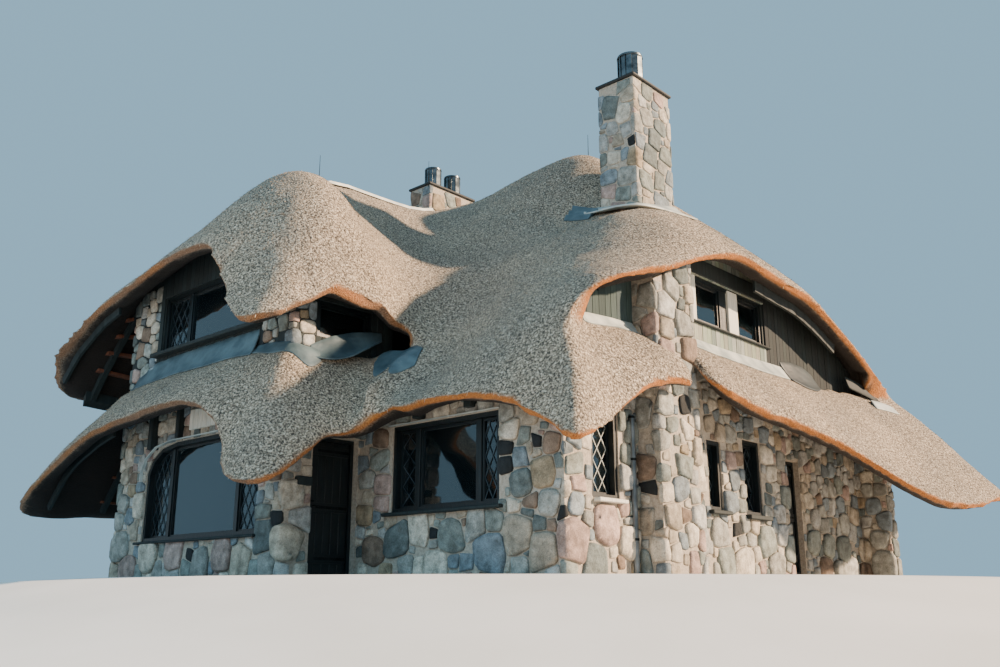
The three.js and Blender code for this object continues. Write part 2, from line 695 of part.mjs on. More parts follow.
// Window unit: frame with a pane in each of its lights
function addWindow(name, { axis, face, inward }, w, reveal = REVEAL) {
  const low = w.a0 + FRAME_BAR;
  const high = w.a1 - FRAME_BAR;
  const stops = [low, ...(w.mullions || []), high];
  const lights = stops.slice(0, -1).map((stop, i) => {
    const left = stop + (i > 0 ? FRAME_BAR / 2 : 0);
    const right = stops[i + 1] - (i < stops.length - 2 ? FRAME_BAR / 2 : 0);
    return w.lights ? w.lights(left, right) : rectangle(left, right, w.z0 + FRAME_BAR, w.z1 - FRAME_BAR);
  });
  const front = face + inward * reveal;
  const middle = front + inward * (FRAME_DEPTH - PANE) / 2;
  const outline = inset(windowHole(w), GAP);
  const frame = pierced(axis, front, inward, FRAME_DEPTH, outline, lights);
  const panes = solidOf(panel(axis, middle, inward, PANE, inset(outline, FRAME_BAR / 2)));
  add(name, 'glass', geometryOf(frame.add(panes)));
}

// Wall with its windows. Heights above the thatch's underside are trimmed away.
function addWall(name, kind, spec, windows) {
  const holes = windows.map(windowHole);
  const solid = pierced(spec.axis, spec.face, spec.inward, spec.thick, spec.outline, holes);
  add(name, kind, geometryOf(spec.trim ? solid.subtract(overhead).subtract(aboveLeftSkirt) : solid));
}

// Lower front window of the wing. Its top left corner follows the thatch down, through points that are given
// by their distances from the corner: to the right and down.
const WING_SIZE = { a0: -8340, a1: -4820, z0: 660, z1: 2320 };
const WING_CORNER = [[950, 0], [440, 70], [140, 240], [0, 470]];
const WING_PANE_CORNER = [[600, 30], [370, 80], [120, 240], [0, 430]];

const WINDOW_WING = {
  ...WING_SIZE,
  mullions: [-7640, -5560],
  hole: [
    [WING_SIZE.a0, WING_SIZE.z0],
    [WING_SIZE.a1, WING_SIZE.z0],
    [WING_SIZE.a1, WING_SIZE.z1],
    ...WING_CORNER.map(([right, down]) => [WING_SIZE.a0 + right, WING_SIZE.z1 - down]),
  ],
  lights: (left, right) => {
    const top = WING_SIZE.z1 - FRAME_BAR;
    const bottom = WING_SIZE.z0 + FRAME_BAR;
    if (left > WING_SIZE.a0 + FRAME_BAR) return rectangle(left, right, bottom, top);
    const rounded = WING_PANE_CORNER.map(([across, down]) => [Math.min(left + across, right), top - down]);
    return [[left, bottom], [right, bottom], ...rounded];
  },
};
const WINDOW_FRONT = { a0: -3370, a1: -1140, z0: 970, z1: 2280, mullions: [-2900, -1620] };
const WINDOW_CORNER = { a0: 580, a1: 1200, z0: 1030, z1: 2400 };
const WINDOW_SIDE_A = { a0: 3560, a1: 3980, z0: 1050, z1: 2150 };
const WINDOW_SIDE_B = { a0: 4700, a1: 5280, z0: 1040, z1: 2280 };
const WINDOW_WING_UPPER = { a0: -8200, a1: -4980, z0: 4000, z1: 5060, mullions: [-7400] };
const WINDOW_RETURN_UPPER = { a0: -950, a1: 150, z0: 3700, z1: 4300 };
const BAND_RIGHT = { a0: 3300, a1: 5700, z0: 4050, z1: 4850, mullions: [4180, 4640] };
const BAND_LEFT = { a0: 1200, a1: 4400, z0: 4000, z1: 4800, mullions: [2000, 2800, 3600] };
const WINDOW_LEFT_1 = { a0: 900, a1: 3100, z0: 970, z1: 2280, mullions: [1450, 2550] };
const WINDOW_LEFT_2 = { a0: 5900, a1: 8100, z0: 970, z1: 2280, mullions: [6450, 7550] };
const WINDOW_BACK_1 = { a0: -8000, a1: -5800, z0: 970, z1: 2100, mullions: [-7450, -6350] };
const WINDOW_BACK_2 = { a0: -4200, a1: -2000, z0: 970, z1: 2100, mullions: [-3650, -2550] };

// Doorways along their walls and in height
const FRONT_DOOR = { a0: -920, a1: -50, z0: 60, z1: 2150 };
const SIDE_DOOR = { a0: 7050, a1: 7950, z0: 200, z1: 2270 };

addWall('wall_wing_front', 'stone', { axis: 'x', face: WING_Y, inward: 1, thick: STONE,
  outline: rectangle(LEFT_X, WING_RIGHT_X, 0, WALL_TOP) }, [WINDOW_WING]);
addWall('wall_front', 'stone', { axis: 'x', face: FRONT_Y, inward: 1, thick: STONE, trim: true,
  outline: rectangle(WING_RIGHT_X + GAP, -GAP, 0, WALL_TOP) }, [WINDOW_FRONT]);
addWall('wall_left', 'stone', { axis: 'y', face: LEFT_X, inward: 1, thick: STONE,
  outline: rectangle(WING_Y + STONE + GAP, BACK_Y - STONE - GAP, 0, WALL_TOP) },
[WINDOW_LEFT_1, WINDOW_LEFT_2]);
addWall('wall_back', 'stone', { axis: 'x', face: BACK_Y, inward: -1, thick: STONE, trim: true,
  outline: rectangle(LEFT_X, 0, 0, WALL_TOP) }, [WINDOW_BACK_1, WINDOW_BACK_2]);
addWall('wall_right', 'stone', { axis: 'y', face: 0, inward: -1, thick: STONE, trim: true,
  outline: rectangle(FRONT_Y + STONE + GAP, SETBACK_Y, 0, WALL_TOP) },
[WINDOW_CORNER, WINDOW_SIDE_A, WINDOW_SIDE_B]);

const trimmed = (geometry) => geometryOf(solidOf(geometry).subtract(overhead));

// Return wall of the wing, split beside and over the front door
const returnX = WING_RIGHT_X - STONE;
add('wall_return_front', 'stone',
  block([returnX, WING_Y + STONE + GAP, 0], [WING_RIGHT_X, FRONT_DOOR.a0, WALL_TOP]));
add('wall_return_back', 'stone', block([returnX, FRONT_DOOR.a1, 0], [WING_RIGHT_X, RETURN_END_Y, WALL_TOP]));
add('wall_over_front_door', 'stone',
  block([returnX, FRONT_DOOR.a0 + GAP, FRONT_DOOR.z1], [WING_RIGHT_X, FRONT_DOOR.a1 - GAP, WALL_TOP]));

// Set-back wall beside and over the side door, and the short wall that turns to it
const setX = SETBACK_X - STONE;
add('wall_setback_front', 'stone', geometryOf(
  solidOf(block([setX, SETBACK_Y - STONE, 0], [-STONE - GAP, SETBACK_Y - GAP, WALL_TOP]))
    .add(solidOf(block([setX, SETBACK_Y - 2 * GAP, 0], [SETBACK_X, SIDE_DOOR.a0, WALL_TOP])))));
add('wall_setback_back', 'stone',
  trimmed(block([setX, SIDE_DOOR.a1, 0], [SETBACK_X, BACK_Y - STONE - GAP, WALL_TOP])));
add('wall_over_side_door', 'stone',
  block([setX, SIDE_DOOR.a0 + GAP, SIDE_DOOR.z1], [SETBACK_X, SIDE_DOOR.a1 - GAP, WALL_TOP]));
add('porch_beam', 'timber', trimmed(
  block([-BOARDS, SETBACK_Y + GAP, UPPER_FLOOR_TOP], [-GAP, BACK_Y - STONE - GAP, WALL_TOP])));

add('pier_right', 'stone', trimmed(block([GAP, PIER.y0, 0], [PIER.out, PIER.y1, UPPER_TOP])));

// Floors
const floorOutline = (margin) => [
  [LEFT_X + STONE + margin, WING_Y + STONE + margin],
  [WING_RIGHT_X - STONE - margin, WING_Y + STONE + margin],
  [WING_RIGHT_X - STONE - margin, RETURN_END_Y + margin],
  [WING_RIGHT_X + margin, RETURN_END_Y + margin],
  [WING_RIGHT_X + margin, STONE + margin],
  [-STONE - margin, STONE + margin],
  [-STONE - margin, SETBACK_Y - STONE - margin],
  [SETBACK_X - STONE - margin, SETBACK_Y - STONE - margin],
  [SETBACK_X - STONE - margin, BACK_Y - STONE - margin],
  [LEFT_X + STONE + margin, BACK_Y - STONE - margin],
];
add('ground_floor', 'floor', slab(floorOutline(GAP), 0, FLOOR_TOP));
add('upper_floor', 'floor', geometryOf(
  solidOf(slab(floorOutline(GAP), UPPER_FLOOR_TOP - UPPER_FLOOR, UPPER_FLOOR_TOP))
    .subtract(flueSpace).subtract(overhead).subtract(aboveLeftSkirt)));

// Boarded walls of the upper storey, resting on the stone
const U0 = WALL_TOP + GAP;
addWall('upper_wall_wing_front', 'boards', { axis: 'x', face: WING_Y, inward: 1, thick: BOARDS, trim: true,
  outline: rectangle(LEFT_X, WING_RIGHT_X, U0, UPPER_TOP) }, [WINDOW_WING_UPPER]);
addWall('upper_wall_return', 'boards', { axis: 'y', face: WING_RIGHT_X, inward: -1, thick: BOARDS, trim: true,
  outline: rectangle(WING_Y + BOARDS + GAP, RETURN_END_Y, U0, UPPER_TOP) }, [WINDOW_RETURN_UPPER]);
addWall('upper_wall_left', 'boards', { axis: 'y', face: LEFT_X, inward: 1, thick: BOARDS, trim: true,
  outline: rectangle(WING_Y + BOARDS + GAP, BACK_Y - STONE, U0, UPPER_TOP) }, [BAND_LEFT]);
addWall('upper_wall_right', 'boards', { axis: 'y', face: 0, inward: -1, thick: BOARDS, trim: true,
  outline: rectangle(500, 9300, U0, UPPER_TOP) }, [BAND_RIGHT]);

const FACES = {
  wingFront: { axis: 'x', face: WING_Y, inward: 1 },
  front: { axis: 'x', face: FRONT_Y, inward: 1 },
  right: { axis: 'y', face: 0, inward: -1 },
  left: { axis: 'y', face: LEFT_X, inward: 1 },
  back: { axis: 'x', face: BACK_Y, inward: -1 },
  wingReturn: { axis: 'y', face: WING_RIGHT_X, inward: -1 },
};
const SHALLOW = 60;
addWindow('window_wing', FACES.wingFront, WINDOW_WING);
addWindow('window_front', FACES.front, WINDOW_FRONT);
addWindow('window_corner', FACES.right, WINDOW_CORNER);
addWindow('window_side_near', FACES.right, WINDOW_SIDE_A);
addWindow('window_side_far', FACES.right, WINDOW_SIDE_B);
addWindow('window_left_near', FACES.left, WINDOW_LEFT_1);
addWindow('window_left_far', FACES.left, WINDOW_LEFT_2);
addWindow('window_back_left', FACES.back, WINDOW_BACK_1);
addWindow('window_back_right', FACES.back, WINDOW_BACK_2);
addWindow('upper_window_wing', FACES.wingFront, WINDOW_WING_UPPER, SHALLOW);
addWindow('upper_window_return', FACES.wingReturn, WINDOW_RETURN_UPPER, SHALLOW);
addWindow('upper_window_right', FACES.right, BAND_RIGHT, SHALLOW);
addWindow('upper_window_left', FACES.left, BAND_LEFT, SHALLOW);

// Doors on walls that face right: frame in the wall, leaf hung on a pin at the far side, opening inwards
const DOOR_FRAME = 60;
const LEAF = 50;
const LEAF_GAP = 8;
const PIN = 4;
const PIN_OFFSET = 8;
const KNUCKLE = 11;
const KNUCKLE_HEIGHT = 120;
const KNUCKLES_AT = [0.1, 0.5, 0.9];
const PIN_END = 100;
// Round handle: radius and distance from the leaf, and its place from the leaf's free edge and the doorstep
const KNOB = [[0, -1], [30, -1], [30, 7], [12, 11], [12, 39], [26, 47], [26, 59], [0, 65]];
const KNOB_IN = 70;
const KNOB_HEIGHT = 1000;

function addDoor(name, face, d) {
  const frameFace = face - REVEAL;
  const outline = rectangle(d.a0 + GAP, d.a1 - GAP, GAP, d.z1 - GAP);
  const hole = rectangle(d.a0 + DOOR_FRAME, d.a1 - DOOR_FRAME, d.z0, d.z1 - DOOR_FRAME);
  // The leaf is flush with the frame's inner face
  const inner = frameFace - FRAME_DEPTH;
  const low = [inner, d.a0 + DOOR_FRAME + LEAF_GAP, d.z0 + LEAF_GAP];
  const high = [inner + LEAF, d.a1 - DOOR_FRAME - LEAF_GAP, d.z1 - DOOR_FRAME - LEAF_GAP];
  const pinX = inner - PIN_OFFSET;
  const pinY = d.a1 - DOOR_FRAME;
  const length = high[2] - low[2] - 2 * PIN_END;
  const profile = [[0, 0], [PIN, 0]];
  for (const at of KNUCKLES_AT) {
    const [start, end] = [at * length - KNUCKLE_HEIGHT / 2, at * length + KNUCKLE_HEIGHT / 2];
    profile.push([PIN, start], [KNUCKLE, start], [KNUCKLE, end], [PIN, end]);
  }
  profile.push([PIN, length], [0, length]);
  const pin = new THREE.LatheGeometry(profile.map(([r, z]) => new THREE.Vector2(r, z)), 12);
  pin.rotateX(Math.PI / 2);
  pin.translate(pinX, pinY, low[2] + PIN_END);
  const frame = pierced('y', frameFace, -1, FRAME_DEPTH, outline, [hole]).add(solidOf(pin));
  add(`${name}_frame`, 'timber', geometryOf(frame));
  const knob = new THREE.LatheGeometry(KNOB.map(([r, z]) => new THREE.Vector2(r, z)), 16);
  knob.rotateZ(-Math.PI / 2);
  knob.translate(high[0], low[1] + KNOB_IN, d.z0 + KNOB_HEIGHT);
  add(`${name}_leaf`, 'door', geometryOf(solidOf(block(low, high)).add(solidOf(knob))));
}
addDoor('front_door', WING_RIGHT_X, FRONT_DOOR);
addDoor('side_door', SETBACK_X, SIDE_DOOR);

// Rainwater pipe on the right wall beside the pier
const PIPE = { radius: 45, height: 2250, y: 1480 };
const pipe = new THREE.CylinderGeometry(PIPE.radius, PIPE.radius, PIPE.height, 12);
pipe.rotateX(Math.PI / 2);
pipe.translate(PIPE.radius + GAP, PIPE.y, PIPE.height / 2);
add('downpipe', 'metal', pipe);

// The origin is on the underside of the ground floor, near its middle
for (const mesh of group.children) mesh.geometry.translate(-ORIGIN.x, -ORIGIN.y, 0);

export default group;
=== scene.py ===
# %% [markdown]
# # A thatched stone cottage
# The house is already built as plain solids: walls, floors, roof, chimneys, windows and doors. This lesson
# dresses them. The thatch becomes one flowing skin with reeds standing in it, the walls get their
# fieldstones, and the windows, doors, boards and sheet lead get the parts and finishes that the real ones
# have.

# %% Load the fixed frame
import json
import math
import random

import bmesh
import bpy
import numpy as np
from mathutils import Euler, Matrix, Vector, noise
from mathutils.bvhtree import BVHTree
from mathutils.kdtree import KDTree

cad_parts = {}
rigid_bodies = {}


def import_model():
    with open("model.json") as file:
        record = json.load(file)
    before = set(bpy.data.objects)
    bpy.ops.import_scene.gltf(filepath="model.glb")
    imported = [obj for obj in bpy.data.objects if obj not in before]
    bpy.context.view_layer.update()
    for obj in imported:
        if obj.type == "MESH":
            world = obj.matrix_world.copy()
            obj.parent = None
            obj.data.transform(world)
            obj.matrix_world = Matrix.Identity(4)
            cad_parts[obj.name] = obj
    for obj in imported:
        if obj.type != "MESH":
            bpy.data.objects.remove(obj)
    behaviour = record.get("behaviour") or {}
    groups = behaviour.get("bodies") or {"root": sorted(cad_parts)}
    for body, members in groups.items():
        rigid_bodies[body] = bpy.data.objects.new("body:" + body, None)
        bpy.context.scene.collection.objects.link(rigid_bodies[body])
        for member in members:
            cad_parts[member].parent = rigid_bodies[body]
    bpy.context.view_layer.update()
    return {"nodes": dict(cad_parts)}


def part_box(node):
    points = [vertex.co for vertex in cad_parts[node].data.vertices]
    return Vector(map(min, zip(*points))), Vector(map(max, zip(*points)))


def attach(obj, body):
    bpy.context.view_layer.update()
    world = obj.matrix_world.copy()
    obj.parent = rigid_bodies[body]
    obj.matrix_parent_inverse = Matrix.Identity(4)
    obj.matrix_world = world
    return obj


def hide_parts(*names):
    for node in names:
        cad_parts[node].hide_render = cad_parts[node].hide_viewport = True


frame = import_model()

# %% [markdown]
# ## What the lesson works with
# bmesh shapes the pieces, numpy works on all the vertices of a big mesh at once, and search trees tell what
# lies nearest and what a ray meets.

nodes = frame["nodes"]

# %% [markdown]
# ## One corner to measure from
# Builders set out a house from one corner. Here it is the front right corner of the stone walls, at ground
# level. Everything below is measured from it in metres: to the right, into the house, and up.

# %% Find the front right corner
MASON_GAP = 0.0003
wall_low, wall_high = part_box("wall_front")
CORNER = Vector((wall_high.x + MASON_GAP, wall_low.y, 0.0))


def house(x, y, z=0.0):
    """Turns metres from the front right corner into the frame's own place."""
    return CORNER + Vector((x, y, z))


print("front right corner:", tuple(round(value, 4) for value in CORNER))

# %% [markdown]
# ## The camera
# The picture was taken from low down, a little below the foot of the walls, looking up at the corner. The
# heading and pitch follow from where the walls' level lines meet, and the lens from how fast they run
# together.

# %% Place the camera
CAMERA_PLACE = (7.8137, -9.6638, -0.2176)
CAMERA_HEADING = 42.77
CAMERA_PITCH = 15.245
LENS_MM = 34.54
SENSOR_MM = 36.0
camera_data = bpy.data.cameras.new("camera")
camera_data.lens = LENS_MM
camera_data.sensor_width = SENSOR_MM
camera = bpy.data.objects.new("camera", camera_data)
camera.location = house(*CAMERA_PLACE)
camera.rotation_euler = Euler((math.radians(90 + CAMERA_PITCH), 0, math.radians(CAMERA_HEADING)))
bpy.context.scene.collection.objects.link(camera)
bpy.context.scene.camera = camera
print("camera at", tuple(round(value, 3) for value in camera.location), "with a lens of", LENS_MM, "mm")

# %% [markdown]
# ## Colours and nodes
# Paint charts give colours as hex values in sRGB, while the renderer counts in linear light. One function
# turns them over. Another adds a node, sets it and joins it up, so that a material reads like a recipe.
# Every pattern follows the Object coordinates, which are metres here, so the scale of a pattern is the
# number of its marks in a metre.


# %% Make the helpers for materials
NOISE, RAMP, MIX, BUMP = "ShaderNodeTexNoise", "ShaderNodeValToRGB", "ShaderNodeMix", "ShaderNodeBump"
ATTRIBUTE, MAP_RANGE = "ShaderNodeAttribute", "ShaderNodeMapRange"
# a Mix node's sockets for colours, by number, and its settings for two ways to mix them
FIRST, SECOND, MIXED = 6, 7, 2
BLEND = {"gives": MIXED, "data_type": "RGBA", "blend_type": "MIX"}
MULTIPLY = {"gives": MIXED, "data_type": "RGBA", "blend_type": "MULTIPLY"}


def linear(hex_colour):
    """Turns an sRGB hex colour into linear red, green, blue and alpha."""
    channels = [int(hex_colour[start:start + 2], 16) / 255 for start in (1, 3, 5)]
    return tuple(c / 12.92 if c <= 0.04045 else ((c + 0.055) / 1.055) ** 2.4 for c in channels) + (1.0,)


def set_inputs(tree, node, inputs):
    """Gives each named input of a node a value or a link."""
    for key, value in inputs.items():
        if isinstance(value, bpy.types.NodeSocket):
            tree.links.new(value, node.inputs[key])
        else:
            node.inputs[key].default_value = value


def add_node(tree, kind, inputs=None, gives=0, stops=(), **settings):
    """Adds a node, sets its options, inputs and colour stops, and hands back the output that it gives."""
    made = tree.nodes.new(kind)
    for name, value in settings.items():
        setattr(made, name, value)
    set_inputs(tree, made, inputs or {})
    if stops:
        elements = made.color_ramp.elements
        while len(elements) < len(stops):
            elements.new(0.5)
        for element, (position, colour) in zip(elements, stops):
            element.position, element.color = position, linear(colour)
    return made.outputs[gives]


def start_material(name, roughness, metallic=0.0):
    """Gives a material with its node tree, its shader and the Object coordinates that its patterns follow."""
    material = bpy.data.materials.new(name)
    material.use_nodes = True
    tree = material.node_tree
    shader = tree.nodes["Principled BSDF"]
    set_inputs(tree, shader, {"Roughness": roughness, "Metallic": metallic})
    return material, tree, shader, add_node(tree, "ShaderNodeTexCoord", gives="Object")


print("mid grey in linear light:", round(linear("#808080")[0], 3))

# %% [markdown]
# ## A pale stage and soft light
# The stage is level under the house and falls away towards its edge, because the camera is lower than the
# foot of the walls. A flat plane would hide them. It is one line spun round its middle.

# %% Spin the stage from its profile
# radius and height of the profile, in metres
STAGE_PROFILE = [(0.0, 0.0), (8.7, 0.0), (9.6, -0.05), (11.0, -0.35), (13.0, -0.85), (15.0, -1.05),
                 (150.0, -1.05)]
STAGE_CENTRE = house(-4.6, 5.0)
STAGE_STEPS = 128
STAGE_PATCHES_PER_METRE = 0.6
ROUND = 2 * math.pi
bm = bmesh.new()
profile = [bm.verts.new((radius, 0.0, height)) for radius, height in STAGE_PROFILE]
lines = [bm.edges.new(pair) for pair in zip(profile, profile[1:])]
bmesh.ops.spin(bm, geom=profile + lines, cent=(0, 0, 0), axis=(0, 0, 1), dvec=(0, 0, 0), angle=ROUND,
               steps=STAGE_STEPS, use_merge=True, use_normal_flip=False, use_duplicate=False)
bmesh.ops.remove_doubles(bm, verts=bm.verts, dist=0.0005)
bmesh.ops.recalc_face_normals(bm, faces=bm.faces)
bmesh.ops.translate(bm, vec=STAGE_CENTRE, verts=bm.verts)
for face in bm.faces:
    face.smooth = True
stage_mesh = bpy.data.meshes.new("stage")
bm.to_mesh(stage_mesh)
bm.free()
stage = bpy.data.objects.new("stage", stage_mesh)
bpy.context.scene.collection.objects.link(stage)
# matt scenic paint: rolled on, with no sheen, and a little uneven
stage_paint, tree, shader, place = start_material("matt_stage_paint", 0.9)
uneven = add_node(tree, NOISE, {"Vector": place, "Scale": STAGE_PATCHES_PER_METRE, "Detail": 3.0})
shade = add_node(tree, RAMP, {"Fac": uneven}, stops=[(0.3, "#d9d7d2"), (0.7, "#e3e1dd")])
set_inputs(tree, shader, {"Base Color": shade})
stage_mesh.materials.append(stage_paint)
print("stage:", len(stage_mesh.polygons), "faces, from", STAGE_PROFILE[-1][1], "to 0 m")

# %% [markdown]
# The light is a warm, low sun from the right, and pale blue fill from the front and all round. The shadow
# of the right chimney falls on the wing's ridge, which gives the direction of the sun.


# %% Hang the lights
def add_light(name, kind, colour, energy, towards, distance=20.0, size=None):
    """Puts up a light that shines from a direction, given as seen from the house."""
    data = bpy.data.lights.new(name, kind)
    data.color = linear(colour)[:3]
    data.energy = energy
    if kind == "SUN":
        data.angle = math.radians(size)
    else:
        data.shape = "DISK"
        data.size = size
    light = bpy.data.objects.new(name, data)
    direction = Vector(towards).normalized()
    light.location = STAGE_CENTRE + direction * distance
    light.rotation_euler = direction.to_track_quat("Z", "Y").to_euler()
    bpy.context.scene.collection.objects.link(light)


# the sun's strength in watts a square metre and its size in degrees, then the disk's in watts and metres
add_light("warm_key", "SUN", "#ffdcb8", 15.0, (0.74, 0.56, 0.372), size=2.0)
add_light("front_fill", "AREA", "#a6d6f0", 1400.0, (0.15, -0.9, 0.40), distance=22.0, size=14.0)
world = bpy.data.worlds.new("pale_sky")
world.use_nodes = True
world.node_tree.nodes["Background"].inputs["Color"].default_value = linear("#9fcbe6")
world.node_tree.nodes["Background"].inputs["Strength"].default_value = 0.9
bpy.context.scene.world = world

# %% [markdown]
# ## Thatch, as a material
# Thatch is reed laid in thick bundles and combed so that only the cut tips show. In the sun the tips are
# cream and tan, and between them it is dark. Where the eaves are cut, the fresh inside of the reed shows
# orange. It is painted brighter towards the sunny right side of the house, as painted sunlight, and browner
# towards the left, as painted shade, with stretches of each mixed in at random.

# %% Make the thatch material
TIP_MM = 30                # real tips are 8 mm across, and would be lost at this distance
END_PER_METRE = 60.0       # a cut end each 17 mm, drawn coarser for the same reason
PATCHES_PER_METRE = 0.9    # weathered patches of about a metre
# the cut ends are painted sunlit towards higher X and in shade towards lower X, mixed by random stretches
SPOTS_PER_METRE = 0.8      # dry and damp stretches of the eaves
SUNNY_FROM, SUNNY_TO = 1.0, 2.4     # metres along the frame's X
STUBBLE = [(0.32, "#292521"), (0.44, "#6f675d"), (0.56, "#c0b39f"), (0.66, "#f3ead9")]
# the colours of the cut ends as painted in the sun, and as painted in shade
SUNLIT_DRY_ENDS = [(0.30, "#5a3217"), (0.50, "#a4642c"), (0.68, "#cc8c4a")]
SHADED_DAMP_ENDS = [(0.30, "#3a2a20"), (0.50, "#7d5b42"), (0.68, "#ab8d74")]


def thatch_material():
    """Weathered reed: grey stubble, orange cut ends painted in sun and shade, an underside painted as shade.
    """
    material, tree, shader, place = start_material("weathered_reed_thatch", 0.95)
    tips = add_node(tree, NOISE, {"Vector": place, "Scale": 1000 / TIP_MM, "Detail": 3.0, "Roughness": 0.65,
                                  "Distortion": 0.4})
    patches = add_node(tree, NOISE, {"Vector": place, "Scale": PATCHES_PER_METRE, "Detail": 4.0})
    stubble = add_node(tree, RAMP, {"Fac": tips}, stops=STUBBLE)
    aged = add_node(tree, RAMP, {"Fac": patches}, stops=[(0.35, "#a39d96"), (0.65, "#dccfbf")])
    weathered = add_node(tree, MIX, {"Factor": 0.55, FIRST: stubble, SECOND: aged}, **MULTIPLY)
    ends = add_node(tree, NOISE, {"Vector": place, "Scale": END_PER_METRE, "Detail": 4.0, "Roughness": 0.7})
    sunlit_dry = add_node(tree, RAMP, {"Fac": ends}, stops=SUNLIT_DRY_ENDS)
    shaded_damp = add_node(tree, RAMP, {"Fac": ends}, stops=SHADED_DAMP_ENDS)
    # painted light: the cut ends turn orange towards the sunny right of the house and brown, as shade, to the
    # left
    along_house = add_node(tree, "ShaderNodeSeparateXYZ", {"Vector": place})
    sunward = add_node(tree, MAP_RANGE, {"Value": along_house, "From Min": SUNNY_FROM, "From Max": SUNNY_TO,
                                         "To Min": -0.04, "To Max": 0.42})
    spots = add_node(tree, NOISE, {"Vector": place, "Scale": SPOTS_PER_METRE, "Detail": 2.0})
    sunlit_dry_share = add_node(tree, "ShaderNodeMath", {0: spots, 1: sunward}, operation="ADD")
    sunlit_dry_share = add_node(tree, RAMP, {"Fac": sunlit_dry_share}, stops=[(0.42, "#000000"), (0.72, "#ffffff")])
    cut_reed = add_node(tree, MIX, {"Factor": sunlit_dry_share, FIRST: shaded_damp, SECOND: sunlit_dry}, **BLEND)
    cut = add_node(tree, ATTRIBUTE, gives="Fac", attribute_name="cut")
    under = add_node(tree, ATTRIBUTE, gives="Fac", attribute_name="under")
    # painted shade: the thatch's underside, marked by the under attribute, is painted near-black
    shaded = add_node(tree, RAMP, {"Fac": ends}, stops=[(0.30, "#0c0a09"), (0.68, "#221a15")])
    outside = add_node(tree, MIX, {"Factor": cut, FIRST: weathered, SECOND: cut_reed}, **BLEND)
    colour = add_node(tree, MIX, {"Factor": under, FIRST: outside, SECOND: shaded}, **BLEND)
    relief = add_node(tree, BUMP, {"Height": tips, "Distance": TIP_MM / 1000, "Strength": 1.0})
    set_inputs(tree, shader, {"Base Color": colour, "Normal": relief})
    return material


thatch = thatch_material()
print(thatch.name, "has", len(thatch.node_tree.nodes), "nodes")

# %% [markdown]
# ## Tools for a big mesh
# The roof will have more than a hundred thousand vertices. Vertex by vertex that would be slow, so its
# places and directions are read into tables, and whole tables are worked on at once.


# %% Read and even out a mesh by tables
def vertex_table(mesh, what):
    """A table of the vertices' places or normals."""
    table = np.zeros(len(mesh.vertices) * 3)
    source = mesh.vertices if what == "co" else mesh.vertex_normals
    source.foreach_get("co" if what == "co" else "vector", table)
    return table.reshape(-1, 3)


def neighbour_average(mesh, values, rounds):
    """Spreads a value at each vertex over its neighbours."""
    ends = np.zeros(len(mesh.edges) * 2, int)
    mesh.edges.foreach_get("vertices", ends)
    first, second = ends.reshape(-1, 2).T
    size = len(values)
    count = np.bincount(first, minlength=size) + np.bincount(second, minlength=size)
    for _ in range(rounds):
        total = np.bincount(first, values[second], size) + np.bincount(second, values[first], size)
        values = (values + total / np.maximum(count, 1)) / 2
    return values


def step(values, start, end):
    """Rises smoothly from 0 at start to 1 at end."""
    share = np.clip((values - start) / (end - start), 0, 1)
    return share * share * (3 - 2 * share)


print("a smooth step at a quarter:", float(step(np.array(0.25), 0, 1)))

# %% [markdown]
# ## The thatch as one skin
# The roof solids are coarse, and the upper roof and the lower skirts are separate pieces. A thatcher works
# them into one another. So copies of the four solids are joined and remeshed in small cubes, which melts
# the joins. A surface bridged from hand-laid curves would do too, but would have to be kept true to the
# solids by hand.


# %% Melt the roof solids together
THATCH_NODES = ["thatch_main", "thatch_skirt_left", "thatch_corner", "thatch_skirt_right"]
VOXEL = 0.078
scene_objects = bpy.context.scene.collection.objects


def evaluated_mesh(piece, name):
    """The mesh of an object with its modifiers worked in."""
    bpy.context.view_layer.update()
    graph = bpy.context.evaluated_depsgraph_get()
    mesh = bpy.data.meshes.new_from_object(piece.evaluated_get(graph))
    mesh.name = name
    return mesh


def joined_copy(names):
    """One object holding copies of several solids."""
    bm = bmesh.new()
    for name in names:
        bm.from_mesh(nodes[name].data)
    bmesh.ops.remove_doubles(bm, verts=bm.verts, dist=0.0001)
    mesh = bpy.data.meshes.new("joined")
    bm.to_mesh(mesh)
    bm.free()
    piece = bpy.data.objects.new("joined", mesh)
    scene_objects.link(piece)
    return piece


rough = joined_copy(THATCH_NODES)
remesh = rough.modifiers.new("melt", "REMESH")
remesh.mode = "VOXEL"
remesh.voxel_size = VOXEL
remesh.use_smooth_shade = True
rough.data = evaluated_mesh(rough, "melted")
rough.modifiers.clear()
print("melted thatch:", len(rough.data.vertices), "vertices")

# %% [markdown]
# ## Round the thatch off
# The remeshed roof still shows the facets of the solids. A smoothing rounds them off. Its strength is set
# at each vertex, so that the cut edges are spared: faces that look down count as cut, and their neighbours
# in part.


# %% Smooth the top and spare the edges
TOP_ROUNDS, TOP_LEAST = 36, 0.15
CUT_LOOKS_DOWN = (-0.25, 0.05)     # how far down a face looks, from 0 to fully cut
CUT_SPREAD, CUT_GRIP = 4, 2.2


def smooth_by(piece, name, weights, rounds):
    """Smooths a piece as strongly at each vertex as its weight says."""
    piece.modifiers.clear()
    piece.vertex_groups.clear()
    group = piece.vertex_groups.new(name="smooth")
    for index in np.nonzero(weights > 0.01)[0]:
        group.add([int(index)], float(weights[index]), "REPLACE")
    modifier = piece.modifiers.new("smooth", "SMOOTH")
    modifier.factor = 0.5
    modifier.iterations = rounds
    modifier.vertex_group = "smooth"
    return evaluated_mesh(piece, name)


cut = step(-vertex_table(rough.data, "normal")[:, 2], *CUT_LOOKS_DOWN)
spared = CUT_GRIP * neighbour_average(rough.data, cut, CUT_SPREAD)
rough.data = smooth_by(rough, "smoothed", np.clip(1 - spared, TOP_LEAST, 1), TOP_ROUNDS)
print("spared vertices:", int((spared > 0.5).sum()))

# %% [markdown]
# Over the front door the skirt runs on into the main roof. The thatcher works that join flat, so what lies
# near it is smoothed once more.

